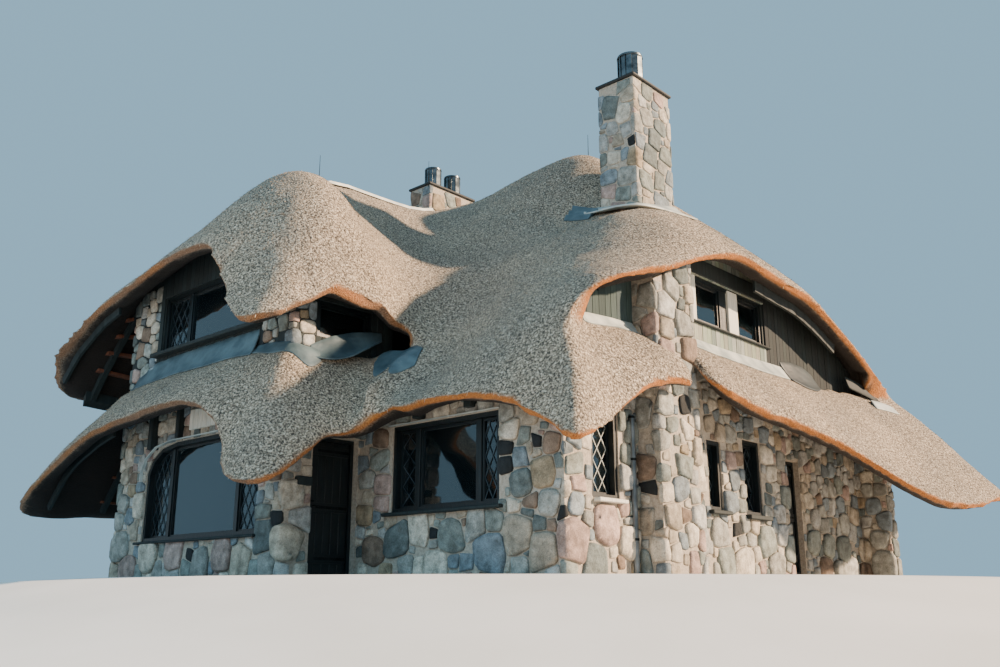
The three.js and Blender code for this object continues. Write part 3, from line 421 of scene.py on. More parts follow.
# %% Work the join over the front door flat
JOIN_TOP, JOIN_FOOT = house(-3.15, 0.45, 3.5), house(-3.15, -0.95, 2.25)
JOIN_REACH, JOIN_ROUNDS = 0.85, 90
places = vertex_table(rough.data, "co")
line = np.array(JOIN_FOOT - JOIN_TOP)
share = np.clip((places - np.array(JOIN_TOP)) @ line / (line @ line), 0, 1)
away = np.linalg.norm(places - (np.array(JOIN_TOP) + share[:, None] * line), axis=1)
nearness = 1 - step(away, JOIN_REACH * 0.45, JOIN_REACH)
skin = smooth_by(rough, "thatch_skin", nearness, JOIN_ROUNDS)
bpy.data.objects.remove(rough)
print("thatch skin:", len(skin.vertices), "vertices")

# %% [markdown]
# ## Thin, cut edges
# The solids carry the full thickness of the roof out to the edge. A thatcher pares the last hand's breadth
# from below, so that the rim shows well under half of it. Each place under the roof looks up the nearest
# place on top: that tells which way the roof falls there, and so which faces are the cut rim and which the
# underside, which the material paints near-black as shade.


# %% Tell the rim from the underside
TOP_LOOKS_UP, UNDER_LOOKS_UP = 0.3, 0.1
DOWNWARD = (0.0, 0.16)
FACES_OUT = (-0.35, 0.0)


def nearest_top(places, directions, under):
    """For each place under the roof, the nearest place on its top and the way the roof falls there."""
    top = np.nonzero(directions[:, 2] > TOP_LOOKS_UP)[0]
    tree = KDTree(len(top))
    for index in top:
        tree.insert(places[index], int(index))
    tree.balance()
    found = np.array([tree.find(places[index])[1] for index in under])
    fall = directions[found][:, :2]
    return places[found], fall / np.maximum(np.linalg.norm(fall, axis=1, keepdims=True), 1e-6)


places = vertex_table(skin, "co")
directions = vertex_table(skin, "normal")
under = np.nonzero(directions[:, 2] < UNDER_LOOKS_UP)[0]
tops, falls = nearest_top(places, directions, under)
facing = (directions[under][:, :2] * falls).sum(axis=1)
down = step(-directions[:, 2], *DOWNWARD)
cut_share, underside_shade_share = np.zeros(len(places)), np.zeros(len(places))
cut_share[under] = down[under] * step(facing, *FACES_OUT)
underside_shade_share[under] = down[under] * (1 - step(facing, *FACES_OUT))
print("rim:", int((cut_share > 0.5).sum()), "places, underside:", int((underside_shade_share > 0.5).sum()))

# %% [markdown]
# The paring lifts what lies near the rim towards the top. The lifts are evened out among neighbours before
# they are made, because a lift that jumps from one vertex to the next leaves a ragged edge.

# %% Pare the rim from below
PARING = 0.62
RIM_ROUNDS, RIM_GRIP = 14, 3.2
EVEN_ROUNDS = 3
near_rim = np.clip(RIM_GRIP * neighbour_average(skin, (cut_share > 0.5).astype(float), RIM_ROUNDS), 0, 1)
moves = np.zeros(places.shape)
moves[under] = (tops - places[under]) * (PARING * near_rim[under] * down[under])[:, None]
for axis in range(3):
    places[:, axis] += neighbour_average(skin, moves[:, axis], EVEN_ROUNDS)
print("greatest lift:", round(float(np.abs(moves[:, 2]).max()), 3), "m")

# %% [markdown]
# Here and there the roof dips, or a bundle swells over a doorway. Those spots are pressed down or pulled up
# by a soft thumb: the move fades out with the distance in plan, and keeps to its own layer of the roof.


# %% Press the dips and swellings
MOUND_PLACE, MOUND_REACH = (-3.70, 0.05), (0.45, 0.45)
EYE_PLACE, EYE_REACH = (0.33, -0.08), (0.16, 0.16)
LAYER_FADE = 0.2
# middle in plan from the corner, reach, lowest and highest height, and the move
PRESSED = [
    ((-3.25, -0.72), (0.35, 0.60), (1.9, 2.9), (0, 0, -0.17)),
    ((-2.62, -0.75), (0.36, 0.60), (1.9, 2.9), (0, 0, 0.13)),
    (MOUND_PLACE, MOUND_REACH, (2.8, 3.8), (0, 0, 0.20)),
    ((-3.45, -1.15), (0.30, 0.25), (3.9, 5.0), (0, 0, 0.06)),
    ((-3.65, -1.62), (0.30, 0.25), (3.9, 5.0), (0, 0, -0.09)),
    ((-3.45, -0.50), (0.35, 0.35), (3.9, 4.9), (0, 0, -0.08)),
    ((-3.45, 0.02), (0.35, 0.30), (3.6, 4.9), (0, 0, -0.10)),
    ((-5.55, -2.05), (0.40, 0.50), (4.4, 5.6), (0.14, 0, 0)),
]


def soft_spot(places, centre, reach):
    """1 at a place given from the corner, in plan, falling off over the reach."""
    away = (places[:, :2] - np.array(CORNER[:2]) - np.array(centre)) / reach
    return np.exp(-2 * (away ** 2).sum(axis=1))


for centre, reach, (low, high), move in PRESSED:
    level = step(places[:, 2], low, low + LAYER_FADE) * step(-places[:, 2], -high, LAYER_FADE - high)
    places += (soft_spot(places, centre, reach) * level)[:, None] * move
skin.vertices.foreach_set("co", places.ravel())
skin.update()
print("pressed spots:", len(PRESSED))

# %% [markdown]
# A roof of reed is never dead even. Low waves of about a metre and smaller ones of some 300 mm are pressed
# into the skin, along its own normals. The cut, the underside and a patch of fresh reed are kept as
# attributes, which the material reads.

# %% Press gentle waves into the skin
# waves in a metre, and their height in metres
WAVES = [(0.9, 0.022), (3.2, 0.010)]
CALM_CUT = 0.6
FRESH = 0.75
directions = vertex_table(skin, "normal")
for scale, height in WAVES:
    lift = np.array([noise.noise(Vector(place) * scale) for place in places]) * height
    places += directions * (lift * (1 - CALM_CUT * cut_share))[:, None]
skin.vertices.foreach_set("co", places.ravel())
shelf = step(places[:, 2], 2.6, 3.0) * step(-places[:, 2], -3.9, -3.7)
fresh = FRESH * soft_spot(places, MOUND_PLACE, MOUND_REACH) * shelf
cut_share *= 1 - soft_spot(places, EYE_PLACE, EYE_REACH)
# the under attribute marks the underside, which the material paints near-black as shade
for name, share in (("cut", np.maximum(cut_share, fresh)), ("under", underside_shade_share)):
    layer = skin.attributes.new(name, "FLOAT", "POINT")
    layer.data.foreach_set("value", neighbour_average(skin, share, 1).astype(np.float32))
skin.update()
print("attributes of the skin:", [layer.name for layer in skin.attributes if layer.name in ("cut", "under")])

# %% [markdown]
# One mesh of the whole skin would be too heavy for one piece, so it is parted along the main ridge, where
# the join can't be seen, and each half is closed again. The edges along the join are kept sharp, or the
# shading would bend round the cut and draw it as a line.


# %% Part the skin along the ridge
def show(mesh, name, material, body="house", replaced=(), smooth=True):
    """Puts a finished mesh into the scene as a piece of the house."""
    mesh.name = name
    mesh.materials.clear()
    mesh.materials.append(material)
    mesh.polygons.foreach_set("use_smooth", [smooth] * len(mesh.polygons))
    piece = bpy.data.objects.new(name, mesh)
    scene_objects.link(piece)
    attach(piece, body)
    if replaced:
        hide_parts(*replaced)
    return piece


RIDGE = house(0, 5.2, 0)


def half_of(mesh, name, side):
    """The part of a mesh on one side of the ridge, closed along the cut."""
    bm = bmesh.new()
    bm.from_mesh(mesh)
    everything = bm.verts[:] + bm.edges[:] + bm.faces[:]
    bmesh.ops.bisect_plane(bm, geom=everything, dist=0.0001, plane_co=RIDGE, plane_no=(0, -side, 0),
                           clear_outer=True)
    rim = [edge for edge in bm.edges if edge.is_boundary]
    bmesh.ops.holes_fill(bm, edges=rim, sides=0)
    for edge in rim:
        edge.smooth = False
    bmesh.ops.triangulate(bm, faces=bm.faces)
    half = bpy.data.meshes.new(name)
    bm.to_mesh(half)
    bm.free()
    return half


thatch_front = show(half_of(skin, "thatch_front", -1), "thatch_front", thatch,
                    replaced=THATCH_NODES)
thatch_back = show(half_of(skin, "thatch_back", 1), "thatch_back", thatch)
print("thatch halves:", len(thatch_front.data.polygons), len(thatch_back.data.polygons), "triangles")

# %% [markdown]
# ## Fieldstone and mortar, as materials
# The walls are fieldstones, split, and set in wide light mortar. Every stone has its own colour, which
# comes with its shape as an attribute: a colour picked inside the material would change in the middle of a
# stone. The pattern only adds cloudiness of a hand's width, grains and a rough face.


# %% Make the stone and mortar materials
CLOUDS_PER_METRE = 7.0     # clouds of 140 mm
GRAINS_PER_METRE = 55.0    # grains of 18 mm: real ones of 3 mm wouldn't show
SAND_PER_METRE = 24.0      # trowel marks of 40 mm, with finer sand in them


def fieldstone_material():
    """Split fieldstone, dull and slightly rough: the stone's own tint, clouded and grained."""
    material, tree, shader, place = start_material("split_fieldstone", 0.88)
    tint = add_node(tree, ATTRIBUTE, gives="Color", attribute_name="tint")
    clouds = add_node(tree, NOISE, {"Vector": place, "Scale": CLOUDS_PER_METRE, "Detail": 6.0,
                                    "Roughness": 0.6})
    grains = add_node(tree, NOISE, {"Vector": place, "Scale": GRAINS_PER_METRE, "Detail": 4.0,
                                    "Roughness": 0.7})
    cloudy = add_node(tree, RAMP, {"Fac": clouds}, stops=[(0.32, "#77736c"), (0.68, "#ffffff")])
    grainy = add_node(tree, RAMP, {"Fac": grains}, stops=[(0.35, "#8a8680"), (0.6, "#ffffff")])
    clouded = add_node(tree, MIX, {"Factor": 0.75, FIRST: tint, SECOND: cloudy}, **MULTIPLY)
    grained = add_node(tree, MIX, {"Factor": 0.5, FIRST: clouded, SECOND: grainy}, **MULTIPLY)
    relief = add_node(tree, BUMP, {"Height": clouds, "Distance": 0.05, "Strength": 0.7})
    set_inputs(tree, shader, {"Base Color": grained, "Normal": relief})
    return material


def mortar_material():
    """Lime mortar, troweled between the stones: pale, sandy and without any sheen."""
    material, tree, shader, place = start_material("lime_mortar", 0.95)
    sand = add_node(tree, NOISE, {"Vector": place, "Scale": SAND_PER_METRE, "Detail": 6.0, "Roughness": 0.7})
    colour = add_node(tree, RAMP, {"Fac": sand}, stops=[(0.3, "#8d857a"), (0.7, "#bfb5a5")])
    relief = add_node(tree, BUMP, {"Height": sand, "Distance": 0.02, "Strength": 1.0})
    set_inputs(tree, shader, {"Base Color": colour, "Normal": relief})
    return material


fieldstone = fieldstone_material()
mortar = mortar_material()


def paint(material, *names):
    """Gives CAD nodes a finished material."""
    for name in names:
        nodes[name].data.materials.clear()
        nodes[name].data.materials.append(material)


WALLS = [name for name in nodes if name.startswith(("wall_", "chimney_stack", "pier_"))]
paint(mortar, *WALLS)
print("walls in mortar:", len(WALLS))

# %% [markdown]
# ## Laying the stones
# A mason starts with the largest stones at the foot, then fits ever smaller ones into the room that is
# left. That is done here on the wall rolled out flat: along, up. Each stone begins as a square and is cut
# back halfway to each neighbour, more upright or more level than the way between them, because split stones
# are laid square. Then it is rounded, raised, and bent round the corners of the house, which gives the
# quoins.

# %% Find the way round the walls
CUT_CORNERS = {"window_wing": (0.34, 0.34)}
CORNER_ROOM = 0.06
WALL_DEPTH = 0.5


class Course:
    """The way along one or more wall faces, outside on the right. It can be laid out flat and folded back."""

    def __init__(self, points, bottom, top, relief=1.0, dark=()):
        self.points = [Vector(point) for point in points]
        self.steps = [(b - a).normalized() for a, b in zip(self.points, self.points[1:])]
        lengths = [(b - a).length for a, b in zip(self.points, self.points[1:])]
        self.marks = [sum(lengths[:count]) for count in range(len(lengths) + 1)]
        self.bottom, self.top, self.relief = bottom, top, relief
        self.dark = [(self.unfold(x, y), z, radius) for x, y, z, radius in dark]

    def unfold(self, x, y):
        """How far along the way the wall beside a place is."""
        found = []
        for index, step_along in enumerate(self.steps):
            away = Vector((x, y)) - self.points[index]
            at = away.dot(step_along)
            if 0 <= at <= self.marks[index + 1] - self.marks[index]:
                found.append((abs(away.dot(self.inward(index))), self.marks[index] + at))
        return min(found)[1]

    def inward(self, index):
        """The direction into the wall on one straight run."""
        return Vector((-self.steps[index].y, self.steps[index].x))

    def fold(self, place):
        """Takes a flat place (along, inward, up) to the house."""
        along, depth, up = place
        index = max(0, min(len(self.steps) - 1, sum(mark <= along for mark in self.marks) - 1))
        point = self.points[index] + self.steps[index] * (along - self.marks[index])
        normal = self.inward(index)
        for other, mark in ((index - 1, self.marks[index]), (index + 1, self.marks[index + 1])):
            near = abs(along - mark)
            if 0 <= other < len(self.steps) and near < CORNER_ROOM:
                normal = normal.lerp(self.inward(other), 0.5 * (1 - near / CORNER_ROOM)).normalized()
        return house(point.x + normal.x * depth, point.y + normal.y * depth, up)

    def holes(self, names):
        """The openings of windows and doors, as boxes along and up."""
        found = []
        for name in names:
            low, high = [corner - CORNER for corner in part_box(name)]
            middle = ((low + high) / 2).to_2d()
            for index, step_along in enumerate(self.steps):
                away = middle - self.points[index]
                along = away.dot(step_along)
                length = self.marks[index + 1] - self.marks[index]
                if 0 < along < length and abs(away.dot(self.inward(index))) < WALL_DEPTH:
                    half = abs((high - low).to_2d().dot(step_along)) / 2
                    start = self.marks[index] + along
                    right, down = CUT_CORNERS.get(name, (0, 0))
                    found.append((start - half, start + half, low.z, high.z - down))
                    if down:
                        found.append((start - half + right, start + half, high.z - down, high.z))
        return found


way_end = Course([(-2, 0), (0, 0)], 0, 1).fold((2, 0, 0))
print("a way of 2 m along the front ends", round((way_end - CORNER).length, 4), "m from the corner")

# %% [markdown]
# A mason knows where a stone may lie: not in an opening, not up in the thatch, and only where there is wall
# behind it. Search trees over the roof and over the walls answer that for any place.

# %% Ask whether there is room for a stone
ROOF_TREE = BVHTree.FromPolygons([vertex.co for vertex in skin.vertices],
                                 [polygon.vertices[:] for polygon in skin.polygons])


def tree_of(names):
    """A search tree over several solids."""
    bm = bmesh.new()
    for name in names:
        bm.from_mesh(nodes[name].data)
    tree = BVHTree.FromBMesh(bm)
    bm.free()
    return tree


WALL_STARTS = ("wall_", "upper_wall", "chimney_stack", "pier_")
WALL_TREE = tree_of([name for name in nodes if name.startswith(WALL_STARTS)])
NEAR_WALL = 0.03
DEEP_IN_REED = 0.14


def on_wall(course, along, up, size):
    """True where the solid wall is behind a stone and a little above it."""
    checks = [(along, up), (along, up + size * 0.7)]
    return all(WALL_TREE.find_nearest(course.fold((x, 0, z)))[3] < NEAR_WALL for x, z in checks)


def in_thatch(place):
    """True where a place is well inside the thatch, or only just under its top."""
    nearest, normal, _, distance = ROOF_TREE.find_nearest(place)
    return (place - nearest).dot(normal) < 0 and (distance > DEEP_IN_REED or normal.z > -0.1)


def hole_sides(hole):
    """The sides of an opening as (place, way out) pairs."""
    start, end, low, high = hole
    return [(Vector((start, low)), Vector((-1, 0))), (Vector((end, low)), Vector((1, 0))),
            (Vector((start, low)), Vector((0, -1))), (Vector((start, high)), Vector((0, 1)))]


def nearest_side(point, hole):
    """The side of an opening that a stone is most clearly beyond, and by how much."""
    return max(((point - place).dot(way), place, way) for place, way in hole_sides(hole))


print("wall behind a stone in the front:", on_wall(Course([(-2, 0), (0, 0)], 0, 1), 1.8, 0.5, 0.1))

# %% [markdown]
# Each size of stone is tried at random places, the largest first, and a place too near to a stone that lies
# already is given up. Upwards the stones may come a little closer than along, because they lie flat.

# %% Choose where the stones go
SIZE_SPREAD = (0.88, 1.15)
FLATNESS = 1.15
CLEARANCE = 0.86
OFF_THE_FOOT, OFF_AN_OPENING = 0.6, 0.55


def scatter(course, sizes, holes, rng):
    """Seeds for stones of falling size that keep clear of each other and of the openings."""
    seeds = np.array(course.dark).reshape(-1, 3)
    length = course.marks[-1]
    for radius, ceiling, tries in sizes:
        for _ in range(int(tries * length)):
            point = Vector((rng.uniform(0, length), rng.uniform(course.bottom, min(course.top, ceiling))))
            size = radius * rng.uniform(*SIZE_SPREAD)
            if len(seeds):
                apart = np.hypot(seeds[:, 0] - point.x, (seeds[:, 1] - point.y) * FLATNESS)
                if (apart - (seeds[:, 2] + size) * CLEARANCE).min() < 0:
                    continue
            if point.y - course.bottom < size * OFF_THE_FOOT:
                continue
            if any(nearest_side(point, hole)[0] < size * OFF_AN_OPENING for hole in holes):
                continue
            seeds = np.vstack([seeds, (point.x, point.y, size)])
    return [seed for seed in seeds
            if not in_thatch(course.fold((seed[0], -0.1, seed[1]))) and on_wall(course, *seed)]


trial_course = Course([(-2, 0), (-1, 0)], 0, 1)
print("stones in a trial metre:", len(scatter(trial_course, [(0.15, 1, 40)], [], random.Random(1))))

# %% [markdown]
# A stone's outline starts as a square lying flat on the wall. Cuts halfway to each neighbour leave even
# joints between them. A Voronoi pattern would give cells too, but not the squared look that a mason's
# hammer gives.


# %% Cut a stone's outline
JOINT = 0.022
SQUARENESS = 0.45
# in stone sizes: half the diagonal of the first square, and how far off a neighbour still cuts
START_SQUARE, NEIGHBOUR_REACH = 1.8, 1.9
BREADTH, TILT = 1.1, 0.15
OPENING_GAP = 0.008


def cut_back(bm, place, way):
    """Cuts the flat stone at a line."""
    bmesh.ops.bisect_plane(bm, geom=bm.verts[:] + bm.edges[:] + bm.faces[:], dist=0.00001, clear_outer=True,
                           plane_co=(place.x, 0, place.y), plane_no=(way.x, 0, way.y))


def flat_stone(seed, seeds, course, holes, rng):
    """A stone's outline: a square cut back to its neighbours and to the openings."""
    x, z, radius = seed
    bm = bmesh.new()
    tilt = Matrix.Rotation(math.pi / 4 + rng.uniform(-TILT, TILT), 4, "Z")
    turn = Matrix.Rotation(math.pi / 2, 4, "X") @ tilt
    bmesh.ops.create_circle(bm, cap_ends=True, segments=4, radius=radius * START_SQUARE,
                            matrix=Matrix.Translation((x, 0, z)) @ Matrix.Diagonal((BREADTH, 1, 1, 1)) @ turn)
    centre = Vector((x, z))
    for other_x, other_z, other_radius in seeds:
        apart = Vector((other_x - x, other_z - z))
        distance = apart.length
        if 0 < distance < (radius + other_radius) * NEIGHBOUR_REACH:
            reach = (distance ** 2 + radius ** 2 - other_radius ** 2) / (2 * distance) - JOINT / 2
            flat, steep = (SQUARENESS, 1) if abs(apart.x) < abs(apart.y) else (1, SQUARENESS)
            cut_back(bm, centre + apart / distance * reach, Vector((apart.x * flat, apart.y * steep)))
    cut_back(bm, Vector((x, course.bottom)), Vector((0, -1)))
    cut_back(bm, Vector((x, course.top)), Vector((0, 1)))
    cut_back(bm, Vector((course.marks[0], z)), Vector((-1, 0)))
    cut_back(bm, Vector((course.marks[-1], z)), Vector((1, 0)))
    for hole in holes:
        away, place, way = nearest_side(centre, hole)
        if away < radius * NEIGHBOUR_REACH:
            cut_back(bm, place + way * OPENING_GAP, -way)
    return bm


trial_rng = random.Random(1)
trial = flat_stone((0.5, 0.5, 0.2), [(0.9, 0.5, 0.2)], trial_course, [], trial_rng)
print("a trial outline has", len(trial.verts), "corners")

# %% [markdown]
# The outline's corners are rounded and it is raised in three layers that draw in towards the top, like a
# loaf. A stone at a corner of the house is sliced there first, so that it can be bent round it.


# %% Raise a stone
ROUNDING = 0.24
BULGE, LEAST_BULGE = (0.14, 0.30), 0.012
ROOT = 0.03
LEAN = 0.1
# share of the bulge and width of each layer
LAYERS = ((0.45, 1.0), (0.85, 0.92), (1.0, 0.70))


def raise_layers(bm, face, bulge, lean):
    """Extrudes the flat face outwards layer by layer, and takes away the floors left inside."""
    top = [face]
    for share, width in LAYERS:
        before = top[0].calc_center_median()
        grown = bmesh.ops.extrude_face_region(bm, geom=top)["geom"]
        if top[0] is not face:
            bmesh.ops.delete(bm, geom=top, context="FACES_ONLY")
        top = [part for part in grown if isinstance(part, bmesh.types.BMFace)]
        corners = [part for part in grown if isinstance(part, bmesh.types.BMVert)]
        out = Vector((0, -bulge * share - before.y, 0)) + lean * share * (width < 1)
        bmesh.ops.translate(bm, vec=out, verts=corners)
        middle = top[0].calc_center_median()
        bmesh.ops.scale(bm, vec=(width, 1, width), space=Matrix.Translation(-middle), verts=corners)


def raise_stone(bm, radius, course, rng):
    """Rounds the outline, raises it out of the wall and folds it round the corners."""
    bmesh.ops.dissolve_limit(bm, angle_limit=math.radians(4), verts=bm.verts, edges=bm.edges)
    bmesh.ops.bevel(bm, geom=bm.verts[:], offset=radius * ROUNDING, offset_type="OFFSET", segments=1,
                    profile=0.5, affect="VERTICES", clamp_overlap=True, material=-1)
    face = bm.faces[:][0]
    bulge = radius * rng.uniform(*BULGE) * course.relief + LEAST_BULGE
    bmesh.ops.translate(bm, vec=(0, ROOT, 0), verts=bm.verts)
    lean = Vector((rng.uniform(-LEAN, LEAN), 0, rng.uniform(-LEAN, LEAN))) * radius
    raise_layers(bm, face, bulge, lean)
    open_edges = [edge for edge in bm.edges if edge.is_boundary]
    if open_edges:
        bmesh.ops.holes_fill(bm, edges=open_edges, sides=0)
    low, high = min(v.co.x for v in bm.verts), max(v.co.x for v in bm.verts)
    for mark in course.marks[1:-1]:
        if low < mark + CORNER_ROOM and high > mark - CORNER_ROOM:
            for offset in (-CORNER_ROOM, 0, CORNER_ROOM):
                bmesh.ops.bisect_plane(bm, geom=bm.verts[:] + bm.edges[:] + bm.faces[:], dist=0.00001,
                                       plane_co=(mark + offset, 0, 0), plane_no=(1, 0, 0))
    for vertex in bm.verts:
        vertex.co = course.fold(vertex.co)
    bmesh.ops.triangulate(bm, faces=[f for f in bm.faces if len(f.verts) > 4])
    bmesh.ops.recalc_face_normals(bm, faces=bm.faces)
    if bm.calc_volume(signed=True) < 0:
        bmesh.ops.reverse_faces(bm, faces=bm.faces)


raise_stone(trial, 0.2, trial_course, trial_rng)
print("raised, it holds", round(trial.calc_volume() * 1000, 2), "litres")
trial.free()

# %% [markdown]
# All the stones of a wall make one piece. Each is built alone and then added, with its tint at every
# vertex.


# %% Lay a wall's courses
STONE_TINTS = [("#aeb0a9", 6), ("#98a19b", 5), ("#c4b9a6", 4), ("#c0a89e", 3), ("#e2dac9", 5), ("#94806f", 2),
               ("#8c9aa2", 5), ("#c3c5c1", 6), ("#b09f84", 1), ("#75807f", 3)]
DARK_STONE = "#202629"
LIGHTER_OR_DARKER = (0.8, 1.15)
SLIVER = 0.0012


def tint_vertices(mesh, colours):
    """Stores tints as an attribute, from pairs of a number of vertices and their colour."""
    layer = mesh.attributes.new("tint", "FLOAT_COLOR", "POINT")
    table = np.concatenate([np.tile(colour, (count, 1)) for count, colour in colours])
    layer.data.foreach_set("color", table.astype(np.float32).ravel())


def lay(name, courses, sizes, openings, seed):
    """Builds the stones of several courses as one piece."""
    rng = random.Random(seed)
    tints, counts = [linear(tint) for tint, _ in STONE_TINTS], [count for _, count in STONE_TINTS]
    whole = bmesh.new()
    part = bpy.data.meshes.new("stone")
    colours = []
    stones = 0
    for course in courses:
        holes = course.holes(openings)
        seeds = scatter(course, sizes, holes, rng)
        for stone_seed in seeds:
            bm = flat_stone(stone_seed, seeds, course, holes, rng)
            if not bm.faces or sum(face.calc_area() for face in bm.faces) < SLIVER:
                bm.free()
                continue
            raise_stone(bm, stone_seed[2], course, rng)
            bm.to_mesh(part)
            shade = rng.uniform(*LIGHTER_OR_DARKER)
            tint = rng.choices(tints, counts)[0]
            if any(abs(stone_seed[0] - at) + abs(stone_seed[1] - up) < 0.001 for at, up, _ in course.dark):
                tint, shade = linear(DARK_STONE), 1.0
            colours.append((len(bm.verts), [channel * shade for channel in tint[:3]] + [1.0]))
            bm.free()
            whole.from_mesh(part)
            stones += 1
    mesh = bpy.data.meshes.new(name)
    whole.to_mesh(mesh)
    whole.free()
    bpy.data.meshes.remove(part)
    tint_vertices(mesh, colours)
    show(mesh, name, fieldstone)
    print(name, stones, "stones", sum(len(p.vertices) - 2 for p in mesh.polygons), "triangles")


OPENINGS = [name for name in nodes if name.startswith("window_") or name.endswith("door_frame")]
# half size, greatest height at which it is laid, tries a metre
WALL_SIZES = [(0.27, 0.75, 14), (0.20, 1.6, 16), (0.155, 4, 30), (0.115, 4, 45), (0.08, 4, 60),
              (0.055, 4, 60)]
FRONT_WAY = [(-9.3, 3.0), (-9.3, -1.4), (-4.15, -1.4), (-4.15, 0), (0, 0), (0, 6.2), (-0.6, 6.2),
             (-0.6, 10.65), (0, 10.65), (0, 11)]
BACK_WAY = [(0, 11), (-9.3, 11), (-9.3, 3.0)]
WALL_FOOT, WALL_TOP = 0.004, 3.48
# the black stones that stand out in the front walls: x and y from the corner, height, half its size
DARK_PLACES = [(-4.31, -1.4, 0.84, 0.13), (-1.0, 0, 1.50, 0.10), (-1.0, 0, 1.74, 0.10),
               (-0.44, 0, 1.76, 0.10), (-0.06, 0, 0.79, 0.08), (-2.4, 0, 0.65, 0.08),
               (-6.6, -1.4, 0.38, 0.10), (0, 4.35, 0.8, 0.10)]
lay("stones_front", [Course(FRONT_WAY, WALL_FOOT, WALL_TOP, 1.0, DARK_PLACES)], WALL_SIZES, OPENINGS, 3)
lay("stones_back", [Course(BACK_WAY, WALL_FOOT, WALL_TOP)], WALL_SIZES[:5], OPENINGS, 4)

# %% [markdown]
# The pier, the chimneys and the upper corners of the wing are narrower, so their stones are smaller, and
# the chimneys' stones are dressed nearly flat.

# %% Lay the pier, the chimneys and the upper corners
SMALL_SIZES = [(0.19, 20, 40), (0.14, 20, 50), (0.095, 20, 60), (0.06, 20, 50)]
WING_SIZES = [(0.125, 20, 60), (0.09, 20, 80), (0.06, 20, 60)]
DRESSED = 0.35
lay("stones_small", [
    Course([(0, 1.65), (0.4, 1.65), (0.4, 2.65), (0, 2.65)], WALL_FOOT, 5.0, 1.0,
           [(0.4, 2.34, 2.47, 0.12), (0.18, 1.65, 1.24, 0.11)]),
    Course([(-2.2, 5.2), (-2.2, 4), (-1.4, 4), (-1.4, 5.2), (-2.2, 5.2)], 6.4, 9.28, DRESSED,
           [(-1.45, 4, 7.98, 0.08)]),
    Course([(-8.45, 6.2), (-8.45, 4.75), (-7.8, 4.75), (-7.8, 6.2), (-8.45, 6.2)], 6.4, 9.23, DRESSED),
], SMALL_SIZES, OPENINGS, 5)
lay("stones_wing", [
    Course([(-9.3, -0.6), (-9.3, -1.4), (-8.35, -1.4)], 3.5, 5.9),
    Course([(-4.95, -1.4), (-4.15, -1.4), (-4.15, -1.0)], 3.5, 5.9),
], WING_SIZES, OPENINGS, 6)

# %% [markdown]
# ## Timber, lead, glass and iron, as materials
# Frames and doors are oak, stained almost black with a green cast. Boards are larch that has silvered in
# the weather. Flashings are sheet lead, dulled to a blue grey. One function makes all the woods: streaks
# that run up the piece, from a noise squeezed along the height.


# %% Make the wood material
STREAK = (1.0, 1.0, 0.08)
GRAIN_RELIEF = 0.006


def timber_material(name, dark, light, roughness, grains_per_metre, tinted=False):
    """Wood or slate with streaks that run up the piece."""
    material, tree, shader, place = start_material(name, roughness)
    squeezed = add_node(tree, "ShaderNodeMapping", {"Vector": place, "Scale": STREAK})
    grain = add_node(tree, NOISE, {"Vector": squeezed, "Scale": grains_per_metre, "Detail": 6.0,
                                   "Roughness": 0.65})
    colour = add_node(tree, RAMP, {"Fac": grain}, stops=[(0.32, dark), (0.68, light)])
    if tinted:
        tint = add_node(tree, ATTRIBUTE, gives="Color", attribute_name="tint")
        colour = add_node(tree, MIX, {"Factor": 1.0, FIRST: colour, SECOND: tint}, **MULTIPLY)
    relief = add_node(tree, BUMP, {"Height": grain, "Distance": GRAIN_RELIEF, "Strength": 1.0})
    set_inputs(tree, shader, {"Base Color": colour, "Normal": relief})
    return material


# grains in a metre: 30 are 33 mm wide, as coarse as they have to be to show at this distance
# planed oak under a dark stain, which keeps a soft sheen
dark_oak = timber_material("dark_stained_oak", "#070d0f", "#101c20", 0.4, 30.0)
# larch left to the weather, which turns grey and loses all sheen; each board has its own tint, and on walls
# in shade the tints are painted darker, as shade
old_larch = timber_material("silvered_larch_boards", "#7d8580", "#b3b5ab", 0.85, 45.0, True)
# the same larch where sun and rain have bleached it
pale_larch = timber_material("bleached_larch_boards", "#b9bab0", "#e6e3d8", 0.85, 45.0)
# sawn oak beams, blackened and rough
beam_oak = timber_material("black_oak_beams", "#0c1416", "#1b292a", 0.75, 18.0)
# bare oak floor boards, worn smooth
floor_oak = timber_material("oak_floor_boards", "#7b5a3c", "#a9835b", 0.5, 30.0)
# split cedar laths, still red in the shade of the eaves
red_laths = timber_material("cedar_laths", "#4a2a1c", "#74442e", 0.8, 25.0)
# split slate, which shows the edges of its layers as fine streaks
slate = timber_material("split_slate_slab", "#14181a", "#222729", 0.7, 30.0)
print("woods and slate:", [m.name for m in (dark_oak, old_larch, pale_larch, beam_oak, red_laths, slate)])

# %% [markdown]
# Metals dull in patches: where the skin is worn, it is lighter and less shiny. Old lead shows so little of
# its metal that it is better drawn as a dull grey skin. Glass is dark, because the rooms behind it are.


# %% Make the metals and the glass
PATINA_PER_METRE = 5.0     # patches of 200 mm
CHALK_PER_METRE = 3.0      # patches of 330 mm
PANE_WAVES_PER_METRE = 1.6     # slow waves of about 600 mm


def metal_material(name, colour, worn, roughness):
    """Sheet or cast metal, dulled in patches."""
    material, tree, shader, place = start_material(name, roughness, 0.85)
    patches = add_node(tree, NOISE, {"Vector": place, "Scale": PATINA_PER_METRE, "Detail": 6.0})
    skin_colour = add_node(tree, RAMP, {"Fac": patches}, stops=[(0.35, colour), (0.7, worn)])
    rough = add_node(tree, MAP_RANGE, {"Value": patches, "To Min": roughness - 0.1,
                                       "To Max": roughness + 0.2})
    set_inputs(tree, shader, {"Base Color": skin_colour, "Roughness": rough})
    return material


